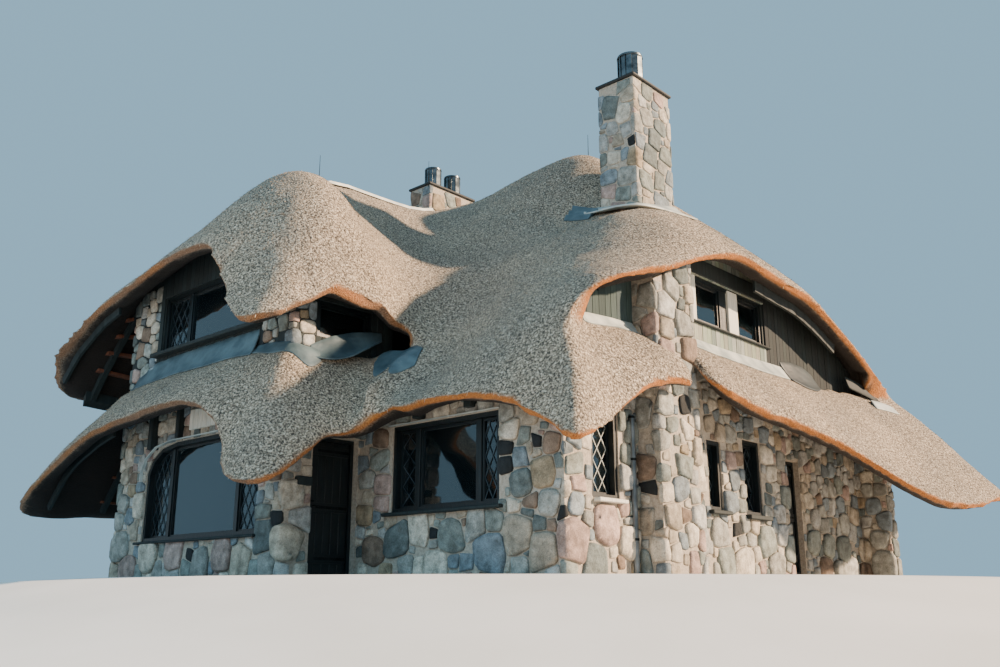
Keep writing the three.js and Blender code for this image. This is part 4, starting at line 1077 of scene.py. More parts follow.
def lead_material(name, dark, light):
    """Sheet lead with a blue-grey or a chalky skin, which shows little of the metal."""
    material, tree, shader, place = start_material(name, 0.5)
    patches = add_node(tree, NOISE, {"Vector": place, "Scale": CHALK_PER_METRE, "Detail": 8.0})
    colour = add_node(tree, RAMP, {"Fac": patches}, stops=[(0.35, dark), (0.65, light)])
    relief = add_node(tree, BUMP, {"Height": patches, "Distance": 0.02, "Strength": 1.0})
    set_inputs(tree, shader, {"Base Color": colour, "Normal": relief})
    return material


def glass_material():
    """Two panes of window glass before a dark room, which reflect more than one, and are not quite flat."""
    material, tree, shader, place = start_material("window_glass", 0.04)
    waves = add_node(tree, NOISE, {"Vector": place, "Scale": PANE_WAVES_PER_METRE, "Detail": 1.0})
    relief = add_node(tree, BUMP, {"Height": waves, "Distance": 0.01, "Strength": 1.0})
    set_inputs(tree, shader, {"Base Color": linear("#0c1417"), "Alpha": 0.75, "IOR": 2.3, "Normal": relief})
    return material


# sheet lead: blue grey in the open, a copy painted almost black as shade under the eaves, and a pale copy
# painted as lead in the sun; chalky where rain runs over it
lead = lead_material("dull_sheet_lead", "#34474f", "#586c73")
shade_dark_lead = lead_material("shaded_sheet_lead", "#16242a", "#24343a")
sunlit_pale_lead = lead_material("sunlit_painted_sheet_lead", "#8d9898", "#c3c9c4")
# the thin lead bars between small panes, rubbed lighter by the weather
old_leading = metal_material("old_window_leading", "#39444a", "#66727a", 0.5)
glass = glass_material()
# hand-forged iron under black paint, half matt
black_iron = metal_material("black_iron", "#14181a", "#2d3234", 0.45)
# zinc-coated steel pipe, pale and blotched
steel = metal_material("galvanised_steel", "#5b6163", "#8a9092", 0.35)
# bare polished flues, darkened by smoke
polished_steel = metal_material("polished_steel", "#3c4448", "#7b8488", 0.24)
paint(floor_oak, "ground_floor", "upper_floor")
paint(beam_oak, "rafters_left", "porch_beam")
paint(dark_oak, "front_door_frame", "side_door_frame")
# the wing's ridge cap is in the pale lead that is painted as sunlit
paint(sunlit_pale_lead, "ridge_cap_wing")
paint(steel, "downpipe")
paint(beam_oak, *[name for name in nodes if name.startswith("upper_wall")])
print("metals and glass:", [m.name for m in (lead, shade_dark_lead, sunlit_pale_lead, old_leading, glass, steel)])

# %% [markdown]
# ## Windows
# Each window is made lying on the wall's own axes: along, inwards and up, from the lower left corner of its
# frame. So one recipe serves all four sides of the house. First come the two simplest parts of joinery: a
# block with eased edges, and a thin bar.


# %% Give the tools for joinery
# the way along each side, seen from outside, and the way into the house
SIDES = {"front": ((1, 0), (0, 1)), "right": ((0, 1), (-1, 0)), "back": ((-1, 0), (0, -1)),
         "left": ((0, -1), (1, 0))}
EASED = 0.004


def wall_place(name, side):
    """Where a window starts, as a matrix, and its width and height."""
    along, inward = [Vector((*way, 0)) for way in SIDES[side]]
    low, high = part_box(name)
    start = [low[axis] if along[axis] + inward[axis] > 0 else high[axis] for axis in (0, 1)]
    columns = Matrix((along, inward, (0, 0, 1))).transposed().to_4x4()
    return Matrix.Translation((*start, low.z)) @ columns, abs((high - low).dot(along)), high.z - low.z


def add_box(bm, low, high, rounding=EASED):
    """A block between two corners with its edges eased."""
    low, high = Vector(low), Vector(high)
    matrix = Matrix.Translation((low + high) / 2) @ Matrix.Diagonal((*(high - low), 1))
    made = bmesh.ops.create_cube(bm, size=1, matrix=matrix)
    if rounding:
        edges = list({edge for vertex in made["verts"] for edge in vertex.link_edges})
        bmesh.ops.bevel(bm, geom=edges, offset=rounding, offset_type="OFFSET", segments=1, profile=0.5,
                        affect="EDGES", clamp_overlap=True, material=-1)


def add_bar(bm, start, end, width, depth):
    """A straight bar between two places on one upright plane."""
    start, end = Vector(start), Vector(end)
    turn = math.atan2(end.z - start.z, end.x - start.x)
    matrix = (Matrix.Translation((start + end) / 2) @ Matrix.Rotation(-turn, 4, "Y")
              @ Matrix.Diagonal(((end - start).length, depth, width, 1)))
    bmesh.ops.create_cube(bm, size=1, matrix=matrix)


front_size = wall_place("window_front", "front")[1:]
print("the front window measures", [round(value, 3) for value in front_size], "m")

# %% [markdown]
# A frame could be four separate bars, but then its corners would have to be mitred. It is cut as one ring
# instead: a flat plate, its rim kept by an inset, and then given its thickness. That works as well for the
# one window whose upper corner is cut off in a curve.


# %% Cut a frame as one ring
def cut_lines(bm, outline, back):
    """Cuts the upper left corner off a flat piece along an outline of places, moved inwards."""
    for start, end in zip(outline, outline[1:]):
        way = Vector((start[1] - end[1], 0, end[0] - start[0])).normalized()
        bmesh.ops.bisect_plane(bm, geom=bm.verts[:] + bm.edges[:] + bm.faces[:], dist=0.00001,
                               clear_outer=True, plane_co=Vector((start[0], 0, start[1])) - way * back,
                               plane_no=way)


def add_ring(bm, low, high, width, front, depth, outline=(), back=0.0):
    """A frame cut as one ring, with its upper left corner cut along an outline if there is one."""
    part = bmesh.new()
    matrix = (Matrix.Translation(((low[0] + high[0]) / 2, 0, (low[1] + high[1]) / 2))
              @ Matrix.Diagonal((high[0] - low[0], 1, high[1] - low[1], 1))
              @ Matrix.Rotation(math.pi / 2, 4, "X"))
    bmesh.ops.create_grid(part, x_segments=1, y_segments=1, size=0.5, matrix=matrix)
    cut_lines(part, outline, back)
    middle = part.faces[:]
    bmesh.ops.inset_region(part, faces=middle, thickness=width, use_even_offset=True, use_boundary=True)
    bmesh.ops.delete(part, geom=middle, context="FACES")
    bmesh.ops.solidify(part, geom=part.faces[:], thickness=depth)
    bmesh.ops.recalc_face_normals(part, faces=part.faces)
    nearest = min(vertex.co.y for vertex in part.verts)
    bmesh.ops.translate(part, vec=(0, front - nearest, 0), verts=part.verts)
    mesh = bpy.data.meshes.new("ring")
    part.to_mesh(mesh)
    part.free()
    bm.from_mesh(mesh)
    bpy.data.meshes.remove(mesh)


trial = bmesh.new()
add_ring(trial, (0, 0), (1, 1), 0.1, 0, 0.05)
print("a ring of 1 m, 100 mm wide and 50 mm thick holds", round(trial.calc_volume() * 1000, 1), "litres")
trial.free()

# %% [markdown]
# The small lights are glazed with diamonds held in lead. Two families of slanting bars cross, and each bar
# stops where it meets the edge of the light. The slope is chosen so that a whole number of diamonds fits
# across.


# %% Cross the lead bars in diamonds
DIAMOND = (0.19, 0.30)
LEAD_WIDTH, LEAD_DEPTH = 0.009, 0.010
SHORTEST_BAR = 0.02


def add_leading(bm, low, high, front):
    """Lead bars crossing in diamonds, cut off at the edges of a light."""
    columns = max(1, round((high[0] - low[0]) / DIAMOND[0]))
    wide = (high[0] - low[0]) / columns
    slope = DIAMOND[1] / wide
    for lean in (1, -1):
        reach = slope * (high[0] - low[0])
        count = int((high[1] - low[1] + reach) / DIAMOND[1]) + 1
        for index in range(count + 1):
            foot = low[1] + index * DIAMOND[1] - (reach if lean > 0 else 0)
            crossings = sorted([low[0] + (level - foot) / (slope * lean) for level in (low[1], high[1])])
            start, end = max(low[0], crossings[0]), min(high[0], crossings[1])
            if end - start > SHORTEST_BAR:
                ends = [(x, front, foot + (x - low[0]) * slope * lean) for x in (start, end)]
                add_bar(bm, *ends, LEAD_WIDTH, LEAD_DEPTH)


trial = bmesh.new()
add_leading(trial, (0, 0), (0.4, 1.2), 0)
print("a light of 400 by 1200 mm takes", len(trial.faces) // 6, "lead bars")
trial.free()

# %% [markdown]
# Each small light has a sash with its leading, the posts stand between the lights, and one sheet of glass
# lies behind them all. The big middle panes are plain.


# %% Build the windows
FRAME_WIDTH = 0.065
SASH_WIDTH = 0.035
POST_WIDTH = 0.09
WIDE_POSTS = {"upper_window_right": 0.57}
POST_FRONT, POST_BACK, POST_END = -0.015, 0.075, 0.03
FRAME_BACK = 0.08
PROUD, PROUD_UPPER = 0.085, 0.03
SASH_GAP = 0.004
SASH_FRONT, SASH_DEPTH = 0.012, 0.045
LEADING_FRONT = 0.030
GLASS_FRONT, GLASS_BACK = 0.040, 0.046
# the corner window's leading is in the pale lead, painted as lit by the sun
SUNLIT_LEADING = ("window_corner",)
# the cut corner of the wing's window, to the right and up from the foot of its frame
CUT_OUTLINES = {"window_wing": [(0.0, 1.19), (0.14, 1.42), (0.44, 1.59), (0.95, 1.66)]}
# node: side, middles of the posts in metres from its left, lights that are leaded
WINDOWS = {
    "window_wing": ("front", (0.70, 2.78), (0, 2)),
    "window_front": ("front", (0.47, 1.75), (0, 2)),
    "window_corner": ("right", (), (0,)),
    "window_side_near": ("right", (), (0,)),
    "window_side_far": ("right", (), (0,)),
    "window_left_near": ("left", (0.55, 1.65), (0, 2)),
    "window_left_far": ("left", (0.55, 1.65), (0, 2)),
    "window_back_left": ("back", (0.55, 1.65), (0, 2)),
    "window_back_right": ("back", (0.55, 1.65), (0, 2)),
    "upper_window_wing": ("front", (0.80,), (0,)),
    "upper_window_return": ("right", (), ()),
    "upper_window_right": ("right", (1.30,), ()),
    "upper_window_left": ("left", (0.80, 1.60, 2.40), (0, 3)),
}


def finish_part(bm, name, place, material, body="house", replaced=(), smooth=False):
    """Moves a part from its wall's own axes to the house and shows it."""
    bmesh.ops.transform(bm, matrix=place, verts=bm.verts)
    mesh = bpy.data.meshes.new(name)
    bm.to_mesh(mesh)
    bm.free()
    return show(mesh, name, material, body, replaced, smooth)


def build_window(name, side, posts, leaded):
    """The frame, sashes, leading and glass of one window."""
    place, width, height = wall_place(name, side)
    proud = PROUD_UPPER if name.startswith("upper") else PROUD
    frame_bm, leading_bm, glass_bm = bmesh.new(), bmesh.new(), bmesh.new()
    half_post = WIDE_POSTS.get(name, POST_WIDTH) / 2
    outline = CUT_OUTLINES.get(name, ())
    add_ring(frame_bm, (0, 0), (width, height), FRAME_WIDTH, -proud, proud + FRAME_BACK, outline)
    for post in posts:
        add_box(frame_bm, (post - half_post, POST_FRONT, POST_END),
                (post + half_post, POST_BACK, height - POST_END))
    starts = [FRAME_WIDTH] + [post + half_post for post in posts]
    ends = [post - half_post for post in posts] + [width - FRAME_WIDTH]
    inner = FRAME_WIDTH + SASH_GAP
    for index, (start, end) in enumerate(zip(starts, ends)):
        low, high = (start + SASH_GAP, inner), (end - SASH_GAP, height - FRAME_WIDTH - SASH_GAP)
        add_ring(frame_bm, low, high, SASH_WIDTH, SASH_FRONT, SASH_DEPTH, outline, inner)
        low, high = [(corner[0] + sign * SASH_WIDTH, corner[1] + sign * SASH_WIDTH)
                     for corner, sign in ((low, 1), (high, -1))]
        if index in leaded:
            add_leading(leading_bm, low, high, LEADING_FRONT)
    edge = FRAME_WIDTH * 0.7
    add_box(glass_bm, (edge, GLASS_FRONT, edge), (width - edge, GLASS_BACK, height - edge), 0)
    cut_lines(glass_bm, outline, edge)
    bmesh.ops.holes_fill(glass_bm, edges=[edge for edge in glass_bm.edges if edge.is_boundary], sides=0)
    finish_part(frame_bm, "frame_of_" + name, place, dark_oak, replaced=[name])
    finish_part(glass_bm, "glass_of_" + name, place, glass)
    if leading_bm.faces:
        bars = sunlit_pale_lead if name in SUNLIT_LEADING else old_leading
        finish_part(leading_bm, "leading_of_" + name, place, bars)
    else:
        leading_bm.free()


for window_name, settings in WINDOWS.items():
    build_window(window_name, *settings)
print("windows built:", len(WINDOWS))

# %% [markdown]
# Heavy planks make the sills and heads, and a few beam ends stand out of the stones above and below. They
# are listed by their low and high corners, measured from the front right corner of the house.

# %% Set the sills, heads and beam ends
CORNER_PLACE = Matrix.Translation(CORNER)
TIMBERS = [
    ((-3.48, -0.12, 0.92), (-1.04, 0.14, 0.97)), ((-8.42, -1.51, 0.62), (-4.74, -1.26, 0.66)),
    ((0.02, 3.24, 4.87), (0.05, 5.75, 5.16)),
    ((-8.32, -1.58, 3.93), (-4.92, -1.31, 4.00)), ((-0.12, 4.62, 0.97), (0.13, 5.36, 1.04)),
    ((-0.12, 3.48, 0.99), (0.12, 4.06, 1.05)), ((-0.05, 3.24, 4.02), (0.09, 5.85, 4.05)),
    ((-8.13, -1.56, 2.24), (-8.01, -1.30, 2.95)), ((-7.26, -1.53, 2.36), (-7.16, -1.30, 3.02)),
    ((-2.80, -0.14, 2.33), (-2.64, 0.10, 2.46)), ((-1.72, -0.14, 2.36), (-1.57, 0.10, 2.50)),
    ((-4.20, -1.22, 1.36), (-4.05, -0.96, 1.49)),
]
timbers = bmesh.new()
for low, high in TIMBERS:
    add_box(timbers, low, high, 0.012)
finish_part(timbers, "sills_and_beams", CORNER_PLACE, beam_oak)
print("sills, heads and beam ends:", len(TIMBERS))

# %% [markdown]
# Round some windows bare larch has bleached: narrow boards beside the upper one on the right, the corner
# window's sill, and six short boards over the wing's window. A strip of bent lead sheds the rain over the
# frames.

# %% Nail on the pale boards and the drip edges
PALE_TIMBERS = [
    ((-0.06, 3.24, 4.05), (0.0, 3.38, 4.95)), ((-0.06, 3.385, 4.05), (0.0, 3.50, 4.95)),
    ((-0.07, 4.54, 4.06), (0.0, 4.86, 4.84)), ((-0.15, 0.58, 0.98), (0.14, 1.22, 1.03)),
]
SHORT_BOARDS, SHORT_FIRST, SHORT_STEP, SHORT_WIDTH = 6, -6.90, 0.135, 0.125
pale_boards = bmesh.new()
for low, high in PALE_TIMBERS:
    add_box(pale_boards, low, high, 0.008)
for index in range(SHORT_BOARDS):
    start = SHORT_FIRST + SHORT_STEP * index
    add_box(pale_boards, (start, -1.47, 2.46), (start + SHORT_WIDTH, -1.40, 2.80), 0.006)
finish_part(pale_boards, "pale_boards", CORNER_PLACE, pale_larch)
# along and up on the wing's front, then on the right part's
DRIP_EDGE = [(-8.355, 1.70), (-8.35, 1.87), (-8.205, 2.10), (-7.905, 2.265), (-7.39, 2.335), (-4.9, 2.335)]
DRIP_THICK, DRIP_REACH = 0.012, 0.05
drip = bmesh.new()
for start, end in zip(DRIP_EDGE, DRIP_EDGE[1:]):
    add_bar(drip, (start[0], -1.50, start[1]), (end[0], -1.50, end[1]), DRIP_THICK, DRIP_REACH)
add_bar(drip, (-3.40, -0.05, 2.295), (-1.10, -0.05, 2.295), DRIP_THICK, DRIP_REACH)
# the drip edges are in the pale lead that is painted as sunlit
finish_part(drip, "drip_edge_wing", CORNER_PLACE, sunlit_pale_lead)
print("pale boards:", len(PALE_TIMBERS) + SHORT_BOARDS)

# %% [markdown]
# ## Boards
# The upper storey is closed with upright boards of about 140 mm, each its own grey; where a wall lies in
# shade its greys are painted darker, as shade. A board runs down from the thatch, and stops at a window. A
# ray from its foot finds how high it may reach. One board with a striped material would be lighter, but the
# real boards stand out unevenly, and the low light shows it.


# %% Nail on the boards
BOARD_WIDTH = 0.14
BOARD_GREYS = ["#dfe2dc", "#c6cbc5", "#f2efe6", "#b4bcb8", "#d6d2c6"]
# these three are the same silvered boards painted darker, as shade, for walls in the shade of the eaves
SHADE_PAINTED_GREYS = ["#4f686f", "#435b62", "#5b747a"]
SHADED_GREYS = ["#2b3b3f", "#223034", "#34464a"]
DEEP_SHADE_PAINTED_GREYS = ["#22343a", "#1c2c31", "#2a3e45"]
BOARD_FRONT, BOARD_BACK = (-0.031, -0.025), -0.002
BOARD_GAP = 0.003
SHORTEST_BOARD = 0.05


def roof_above(place, reach):
    """The height at which the roof begins above a place, which may lie in the lower skirt of thatch."""
    for _ in range(3):
        hit, normal, _, _ = ROOF_TREE.ray_cast(place, Vector((0, 0, 1)))
        if hit is None:
            return None
        if normal.z < 0:
            return min(hit.z, reach)
        place = hit + Vector((0, 0, 0.02))
    return None


def board_wall(name, side, offset, start, end, low, high, greys, windows=(), seed=1):
    """Upright boards on one wall, from low to high at most, round its windows."""
    rng = random.Random(seed)
    along, inward = [Vector((*way, 0)) for way in SIDES[side]]
    columns = Matrix((along, inward, (0, 0, 1))).transposed().to_4x4()
    place = Matrix.Translation(CORNER - inward * offset) @ columns
    holes = []
    for window in windows:
        ends = [(corner - CORNER).dot(along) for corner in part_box(window)]
        holes.append((min(ends), max(ends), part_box(window)[0].z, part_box(window)[1].z))
    bm = bmesh.new()
    colours = []
    x = start
    while x < end - 0.03:
        width = min(BOARD_WIDTH * rng.uniform(0.85, 1.12), end - x)
        spans = [(low, high)]
        for left, right, bottom, top in holes:
            if x + width > left + 0.02 and x < right - 0.02:
                spans = [(low, bottom), (top, high)]
        front = rng.uniform(*BOARD_FRONT)
        tint = [channel * rng.uniform(0.9, 1.05) for channel in linear(rng.choice(greys))[:3]] + [1.0]
        for bottom, top in spans:
            top = roof_above(place @ Vector((x + width / 2, -0.03, bottom + 0.02)), top)
            if top is not None and top > bottom + SHORTEST_BOARD:
                before = len(bm.verts)
                add_box(bm, (x + BOARD_GAP, front, bottom), (x + width - BOARD_GAP, BOARD_BACK, top), 0.003)
                colours.append((len(bm.verts) - before, tint))
        x += width
    piece = finish_part(bm, name, place, old_larch)
    tint_vertices(piece.data, colours)
    print(name, len(colours), "boards")


# name, side, how far out of the corner's plane, start, end, lowest, highest, greys, windows, seed
board_wall("boards_right", "right", 0.0, 2.66, 5.75, 3.5, 5.5, BOARD_GREYS, ["upper_window_right"], 11)
board_wall("boards_right_far", "right", 0.0, 5.75, 9.3, 3.5, 5.5, DEEP_SHADE_PAINTED_GREYS, [], 16)
board_wall("boards_eye", "right", 0.0, 0.1, 1.64, 3.5, 5.5, SHADE_PAINTED_GREYS, [], 12)
board_wall("boards_wing", "front", 1.4, -8.35, -4.9, 3.5, 6.2, DEEP_SHADE_PAINTED_GREYS, ["upper_window_wing"], 13)
board_wall("boards_return", "right", -4.15, -1.0, 0.5, 3.5, 5.9, SHADED_GREYS, ["upper_window_return"], 14)
board_wall("boards_left", "left", 9.3, -10.6, 0.6, 3.5, 6.2, SHADE_PAINTED_GREYS, ["upper_window_left"], 15)

# %% [markdown]
# ## Doors
# The doors are ledged and boarded: upright planks, three heavy rails across them, long iron hinge straps
# with nails, and a lever handle. Rails, straps and handle are on the outside, and the doors swing inwards.
# Each leaf moves with its own hinge, so its parts ride on the door and not on the house.


# %% Hang the doors
LEAF_THICK = 0.050
PLANKS, PLANK_GAP = 5, 0.002
RAIL_LEVELS = (0.12, 0.5, 0.93)
RAIL_HALF, RAIL_PROUD = 0.07, 0.022
STRAP_HALF, STRAP_PROUD = 0.022, 0.028
NAILS, NAIL_STEP, NAIL_RADIUS = 5, 0.12, 0.010
HANDLE_ACROSS, HANDLE_HEIGHT = 0.07, 1.02
# the handle's plate, stem and lever: low and high corners from its middle, and how far the edges are eased
HANDLE = [((-0.002, -0.03, -0.09), (0.008, 0.03, 0.09), 0.003),
          ((0.004, -0.012, -0.012), (0.05, 0.012, 0.012), 0.003),
          ((0.035, -0.012, -0.010), (0.052, 0.13, 0.010), 0.005)]


def build_door(name, box_name):
    """A boarded leaf with rails, hinge straps and a handle."""
    low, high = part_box(box_name)
    face = low.x + LEAF_THICK
    bm, iron = bmesh.new(), bmesh.new()
    wide = (high.y - low.y) / PLANKS
    for index in range(PLANKS):
        add_box(bm, (low.x, low.y + index * wide + PLANK_GAP, low.z),
                (face, low.y + (index + 1) * wide - PLANK_GAP, high.z))
    for level in RAIL_LEVELS:
        middle = low.z + (high.z - low.z) * level
        add_box(bm, (face - 0.01, low.y + 0.01, middle - RAIL_HALF),
                (face + RAIL_PROUD, high.y - 0.01, middle + RAIL_HALF))
        add_box(iron, (face + 0.018, low.y + 0.12, middle - STRAP_HALF),
                (face + STRAP_PROUD, high.y - 0.02, middle + STRAP_HALF), 0.003)
        for nail in range(NAILS):
            place = (face + STRAP_PROUD, low.y + 0.17 + nail * NAIL_STEP, middle)
            bmesh.ops.create_uvsphere(iron, u_segments=10, v_segments=6, radius=NAIL_RADIUS,
                                      matrix=Matrix.Translation(place))
    handle = Vector((face, low.y + HANDLE_ACROSS, low.z + HANDLE_HEIGHT))
    for start, end, rounding in HANDLE:
        add_box(iron, handle + Vector(start), handle + Vector(end), rounding)
    finish_part(bm, name + "_planks", Matrix.Identity(4), dark_oak, name, [box_name])
    finish_part(iron, name + "_iron", Matrix.Identity(4), black_iron, name)
    print(name, "leaf:", [round(value, 3) for value in high - low], "m")


build_door("front_door", "front_door_leaf")
build_door("side_door", "side_door_leaf")

# %% [markdown]
# ## Chimney tops
# Each stack ends in a slab of dark slate that throws the rain off, and on it stand round steel flues: a
# neck, a drum of upright vanes that the wind can't blow into, and a lid.


# %% Build the chimney tops
VANES, VANE_TURN, VANE_THICK = 12, 1.35, 0.012
SLAB, SLAB_BACK = 0.06, 0.035
FLUE_SHARE = 0.88
# the parts of a flue between its levels, from 0 to 1: lower level, upper level, lower and upper radius
LEVELS = (0, 0.06, 0.10, 0.90, 0.93, 0.95, 0.97, 1.0)
FLUE_PARTS = [(1, 2, 1.04, 1.04), (2, 3, 0.78, 0.78), (3, 4, 1.04, 1.04), (4, 5, 0.7, 0.7),
              (5, 6, 1.0, 1.0), (6, 7, 0.9, 0.35)]


def add_drum(bm, x, y, low, high, radius, upper=None, segments=40):
    """An upright round piece between two heights."""
    matrix = Matrix.Translation((x, y, (low + high) / 2))
    bmesh.ops.create_cone(bm, cap_ends=True, segments=segments, radius1=radius, radius2=upper or radius,
                          depth=high - low, matrix=matrix)


def add_flue(bm, x, y, base, radius, height):
    """A flue with its neck, vaned drum and lid."""
    levels = [base + share * height for share in LEVELS]
    add_drum(bm, x, y, levels[0] - 0.02, levels[1], radius * 0.84)
    for lower, upper, foot, head in FLUE_PARTS:
        add_drum(bm, x, y, levels[lower], levels[upper], radius * foot, radius * head)
    for index in range(VANES):
        turn = (Matrix.Translation((x, y, (levels[2] + levels[3]) / 2))
                @ Matrix.Rotation(index * ROUND / VANES, 4, "Z"))
        vane = turn @ Matrix.Translation((radius * 0.92, 0, 0)) @ Matrix.Rotation(VANE_TURN, 4, "Z")
        shape = Matrix.Diagonal((radius * 0.46, VANE_THICK, levels[3] - levels[2], 1))
        bmesh.ops.create_cube(bm, size=1, matrix=vane @ shape)


def chimney_top(name, node, flues, radius):
    """The slab and the flues of one chimney."""
    low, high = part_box(node)
    slab_top = low.z + SLAB
    low, high = low + Vector((SLAB_BACK, SLAB_BACK, 0)), high - Vector((SLAB_BACK, SLAB_BACK, 0))
    bm = bmesh.new()
    add_box(bm, (low.x, low.y, low.z), (high.x, high.y, slab_top), 0.015)
    finish_part(bm, name + "_slab", Matrix.Identity(4), slate, replaced=[node])
    bm = bmesh.new()
    for x, y in flues:
        place = house(x, y)
        add_flue(bm, place.x, place.y, slab_top, radius, (high.z - slab_top) * FLUE_SHARE)
    finish_part(bm, name + "_flues", Matrix.Identity(4), polished_steel)
    print(name, "slab at", round(low.z, 3), "m, flues:", len(flues))


chimney_top("chimney_top_right", "chimney_cap_right", [(-1.72, 4.4)], 0.245)
chimney_top("chimney_top_left", "chimney_cap_left", [(-8.125, 5.15), (-8.125, 5.8)], 0.20)

# %% [markdown]
# ## Sheet lead
# Where thatch meets a wall or a chimney, a sheet of lead is dressed over the reed: it turns up against the
# wall, and its free edge is cut in a loose wave. The sheet has to lie on the reed, so rays cast down from a
# ceiling find the top of the thatch. The ceiling keeps a sheet under the roof from finding the roof above
# it.


# %% Find the reed under a sheet
def thatch_below(place, ceiling):
    """Height of the thatch's top under a place given from the corner, seen from the ceiling, or None."""
    start = house(place.x, place.y, ceiling)
    for _ in range(4):
        hit, normal, _, _ = ROOF_TREE.ray_cast(start, Vector((0, 0, -1)))
        if hit is None:
            break
        if normal.z > 0:
            return hit.z
        start = hit - Vector((0, 0, 0.02))
    return None


def along_run(points, at, soft):
    """A place along a run of points, counted in points, on straight lines or on one soft curve."""
    index = min(int(at), len(points) - 2)
    part = at - index
    start, end = points[index], points[index + 1]
    if not soft:
        return start.lerp(end, part)
    before, after = points[max(0, index - 1)], points[min(len(points) - 1, index + 2)]
    bend = 2 * before - 5 * start + 4 * end - after + part * (3 * (start - end) + after - before)
    return start + 0.5 * part * (end - before + part * bend)


UNDER_ROOF, OVER_ROOF = 3.95, 10.0
UNDER_RIM = 3.66
print("reed under the wing's window:", round(thatch_below(Vector((-7.2, -1.6, 0)), UNDER_ROOF), 3), "m")

# %% [markdown]
# A sheet is a grid between a line at the wall and its free edge. Lead is soft and heavy: it sags from the
# wall in a curve and then lies on the reed, so the height falls with the square of the way. The grid is
# smoothed once, given its thickness, and its rim is rounded.


# %% Dress one sheet
STEPS_EACH, SHEET_ROWS = 8, 7
SHEET_THICK = 0.026
CLEAR_OF_REED = 0.03


def lead_sheet(name, wall_line, free_edge, ceiling, replaced=(), metal=None):
    """A sheet from a line at the wall to a free edge. Heights under 1 are counted from the reed."""
    wall_line, free_edge = [Vector(p) for p in wall_line], [Vector(p) for p in free_edge]
    spans = len(wall_line) - 1
    bm = bmesh.new()
    bmesh.ops.create_grid(bm, x_segments=spans * STEPS_EACH, y_segments=SHEET_ROWS, size=0.5)
    for vertex in bm.verts:
        at, share = (vertex.co.x + 0.5) * spans, vertex.co.y + 0.5
        at_wall, at_edge = along_run(wall_line, at, False), along_run(free_edge, at, True)
        place = at_wall.lerp(at_edge, share)
        below = thatch_below(place, ceiling)
        reed = max(at_wall.z, 1) - 0.1 if below is None else below + CLEAR_OF_REED
        turned_up = at_wall.z if at_wall.z > 1 else reed + at_wall.z
        held = at_edge.z if at_edge.z > 1 else reed + at_edge.z
        vertex.co = house(place.x, place.y, max(reed, held + (turned_up - held) * (1 - share) ** 2))
    bmesh.ops.smooth_vert(bm, verts=bm.verts, factor=0.4, use_axis_x=True, use_axis_y=True, use_axis_z=True)
    bmesh.ops.recalc_face_normals(bm, faces=bm.faces)
    bmesh.ops.solidify(bm, geom=bm.faces[:], thickness=SHEET_THICK)
    rim = [edge for edge in bm.edges if edge.calc_face_angle(0) > 1]
    bmesh.ops.bevel(bm, geom=rim, offset=SHEET_THICK * 0.4, offset_type="OFFSET", segments=2, profile=0.5,
                    affect="EDGES", clamp_overlap=True, material=-1)
    bmesh.ops.recalc_face_normals(bm, faces=bm.faces)
    piece = finish_part(bm, name, Matrix.Identity(4), metal or lead, replaced=replaced, smooth=True)
    print(name, [round(value, 2) for value in piece.dimensions], "m")


# %% [markdown]
# The sheets under the roof come first: along the wing, round its corner, over the front door and along the
# right side. Each is given as places from the front right corner: the line at the wall, then the free edge.
# The last one is an oak plank at the far corner, which is bent to the reed in the same way.

# %% Lay the sheets under the roof
lead_sheet("lead_wing_front",
           [(-8.95, -1.42, 3.72), (-8.3, -1.42, 3.88), (-7.2, -1.42, 3.92), (-6.1, -1.42, 3.92),
            (-5.0, -1.42, 3.92)],
           [(-9.0, -1.56, 0), (-8.3, -1.63, 0), (-7.2, -1.60, 0), (-6.1, -1.64, 0), (-5.0, -1.60, 0)],
           UNDER_ROOF, ["apron_left"])
lead_sheet("lead_wing_corner",
           [(-5.1, -1.43, 3.62), (-4.6, -1.43, 3.60), (-4.14, -1.43, 3.54), (-4.12, -1.2, 3.50),
            (-4.12, -0.95, 3.48)],
           [(-5.2, -1.56, 0), (-4.75, -1.56, 0), (-4.25, -1.55, 0), (-3.92, -1.28, 0), (-3.95, -0.98, 0)],
           UNDER_ROOF)
lead_sheet("lead_wing_return",
           [(-4.12, -1.1, 3.54), (-4.12, -0.7, 3.76), (-4.12, -0.3, 3.90), (-4.12, 0.1, 3.98),
            (-4.12, 0.35, 4.0)],
           [(-4.0, -1.12, 3.32), (-3.86, -0.8, 3.32), (-3.84, -0.5, 3.42), (-3.86, -0.2, 3.60),
            (-3.96, 0.2, 3.82)],
           UNDER_ROOF)
lead_sheet("lead_lobes",
           [(-3.72, -0.02, 0), (-3.6, 0.15, 0), (-3.4, 0.28, 0), (-3.2, 0.3, 0), (-3.0, 0.25, 0)],
           [(-3.68, -0.18, 0), (-3.48, -0.34, 0), (-3.24, -0.18, 0), (-3.04, -0.42, 0), (-2.84, -0.06, 0)],
           UNDER_RIM)
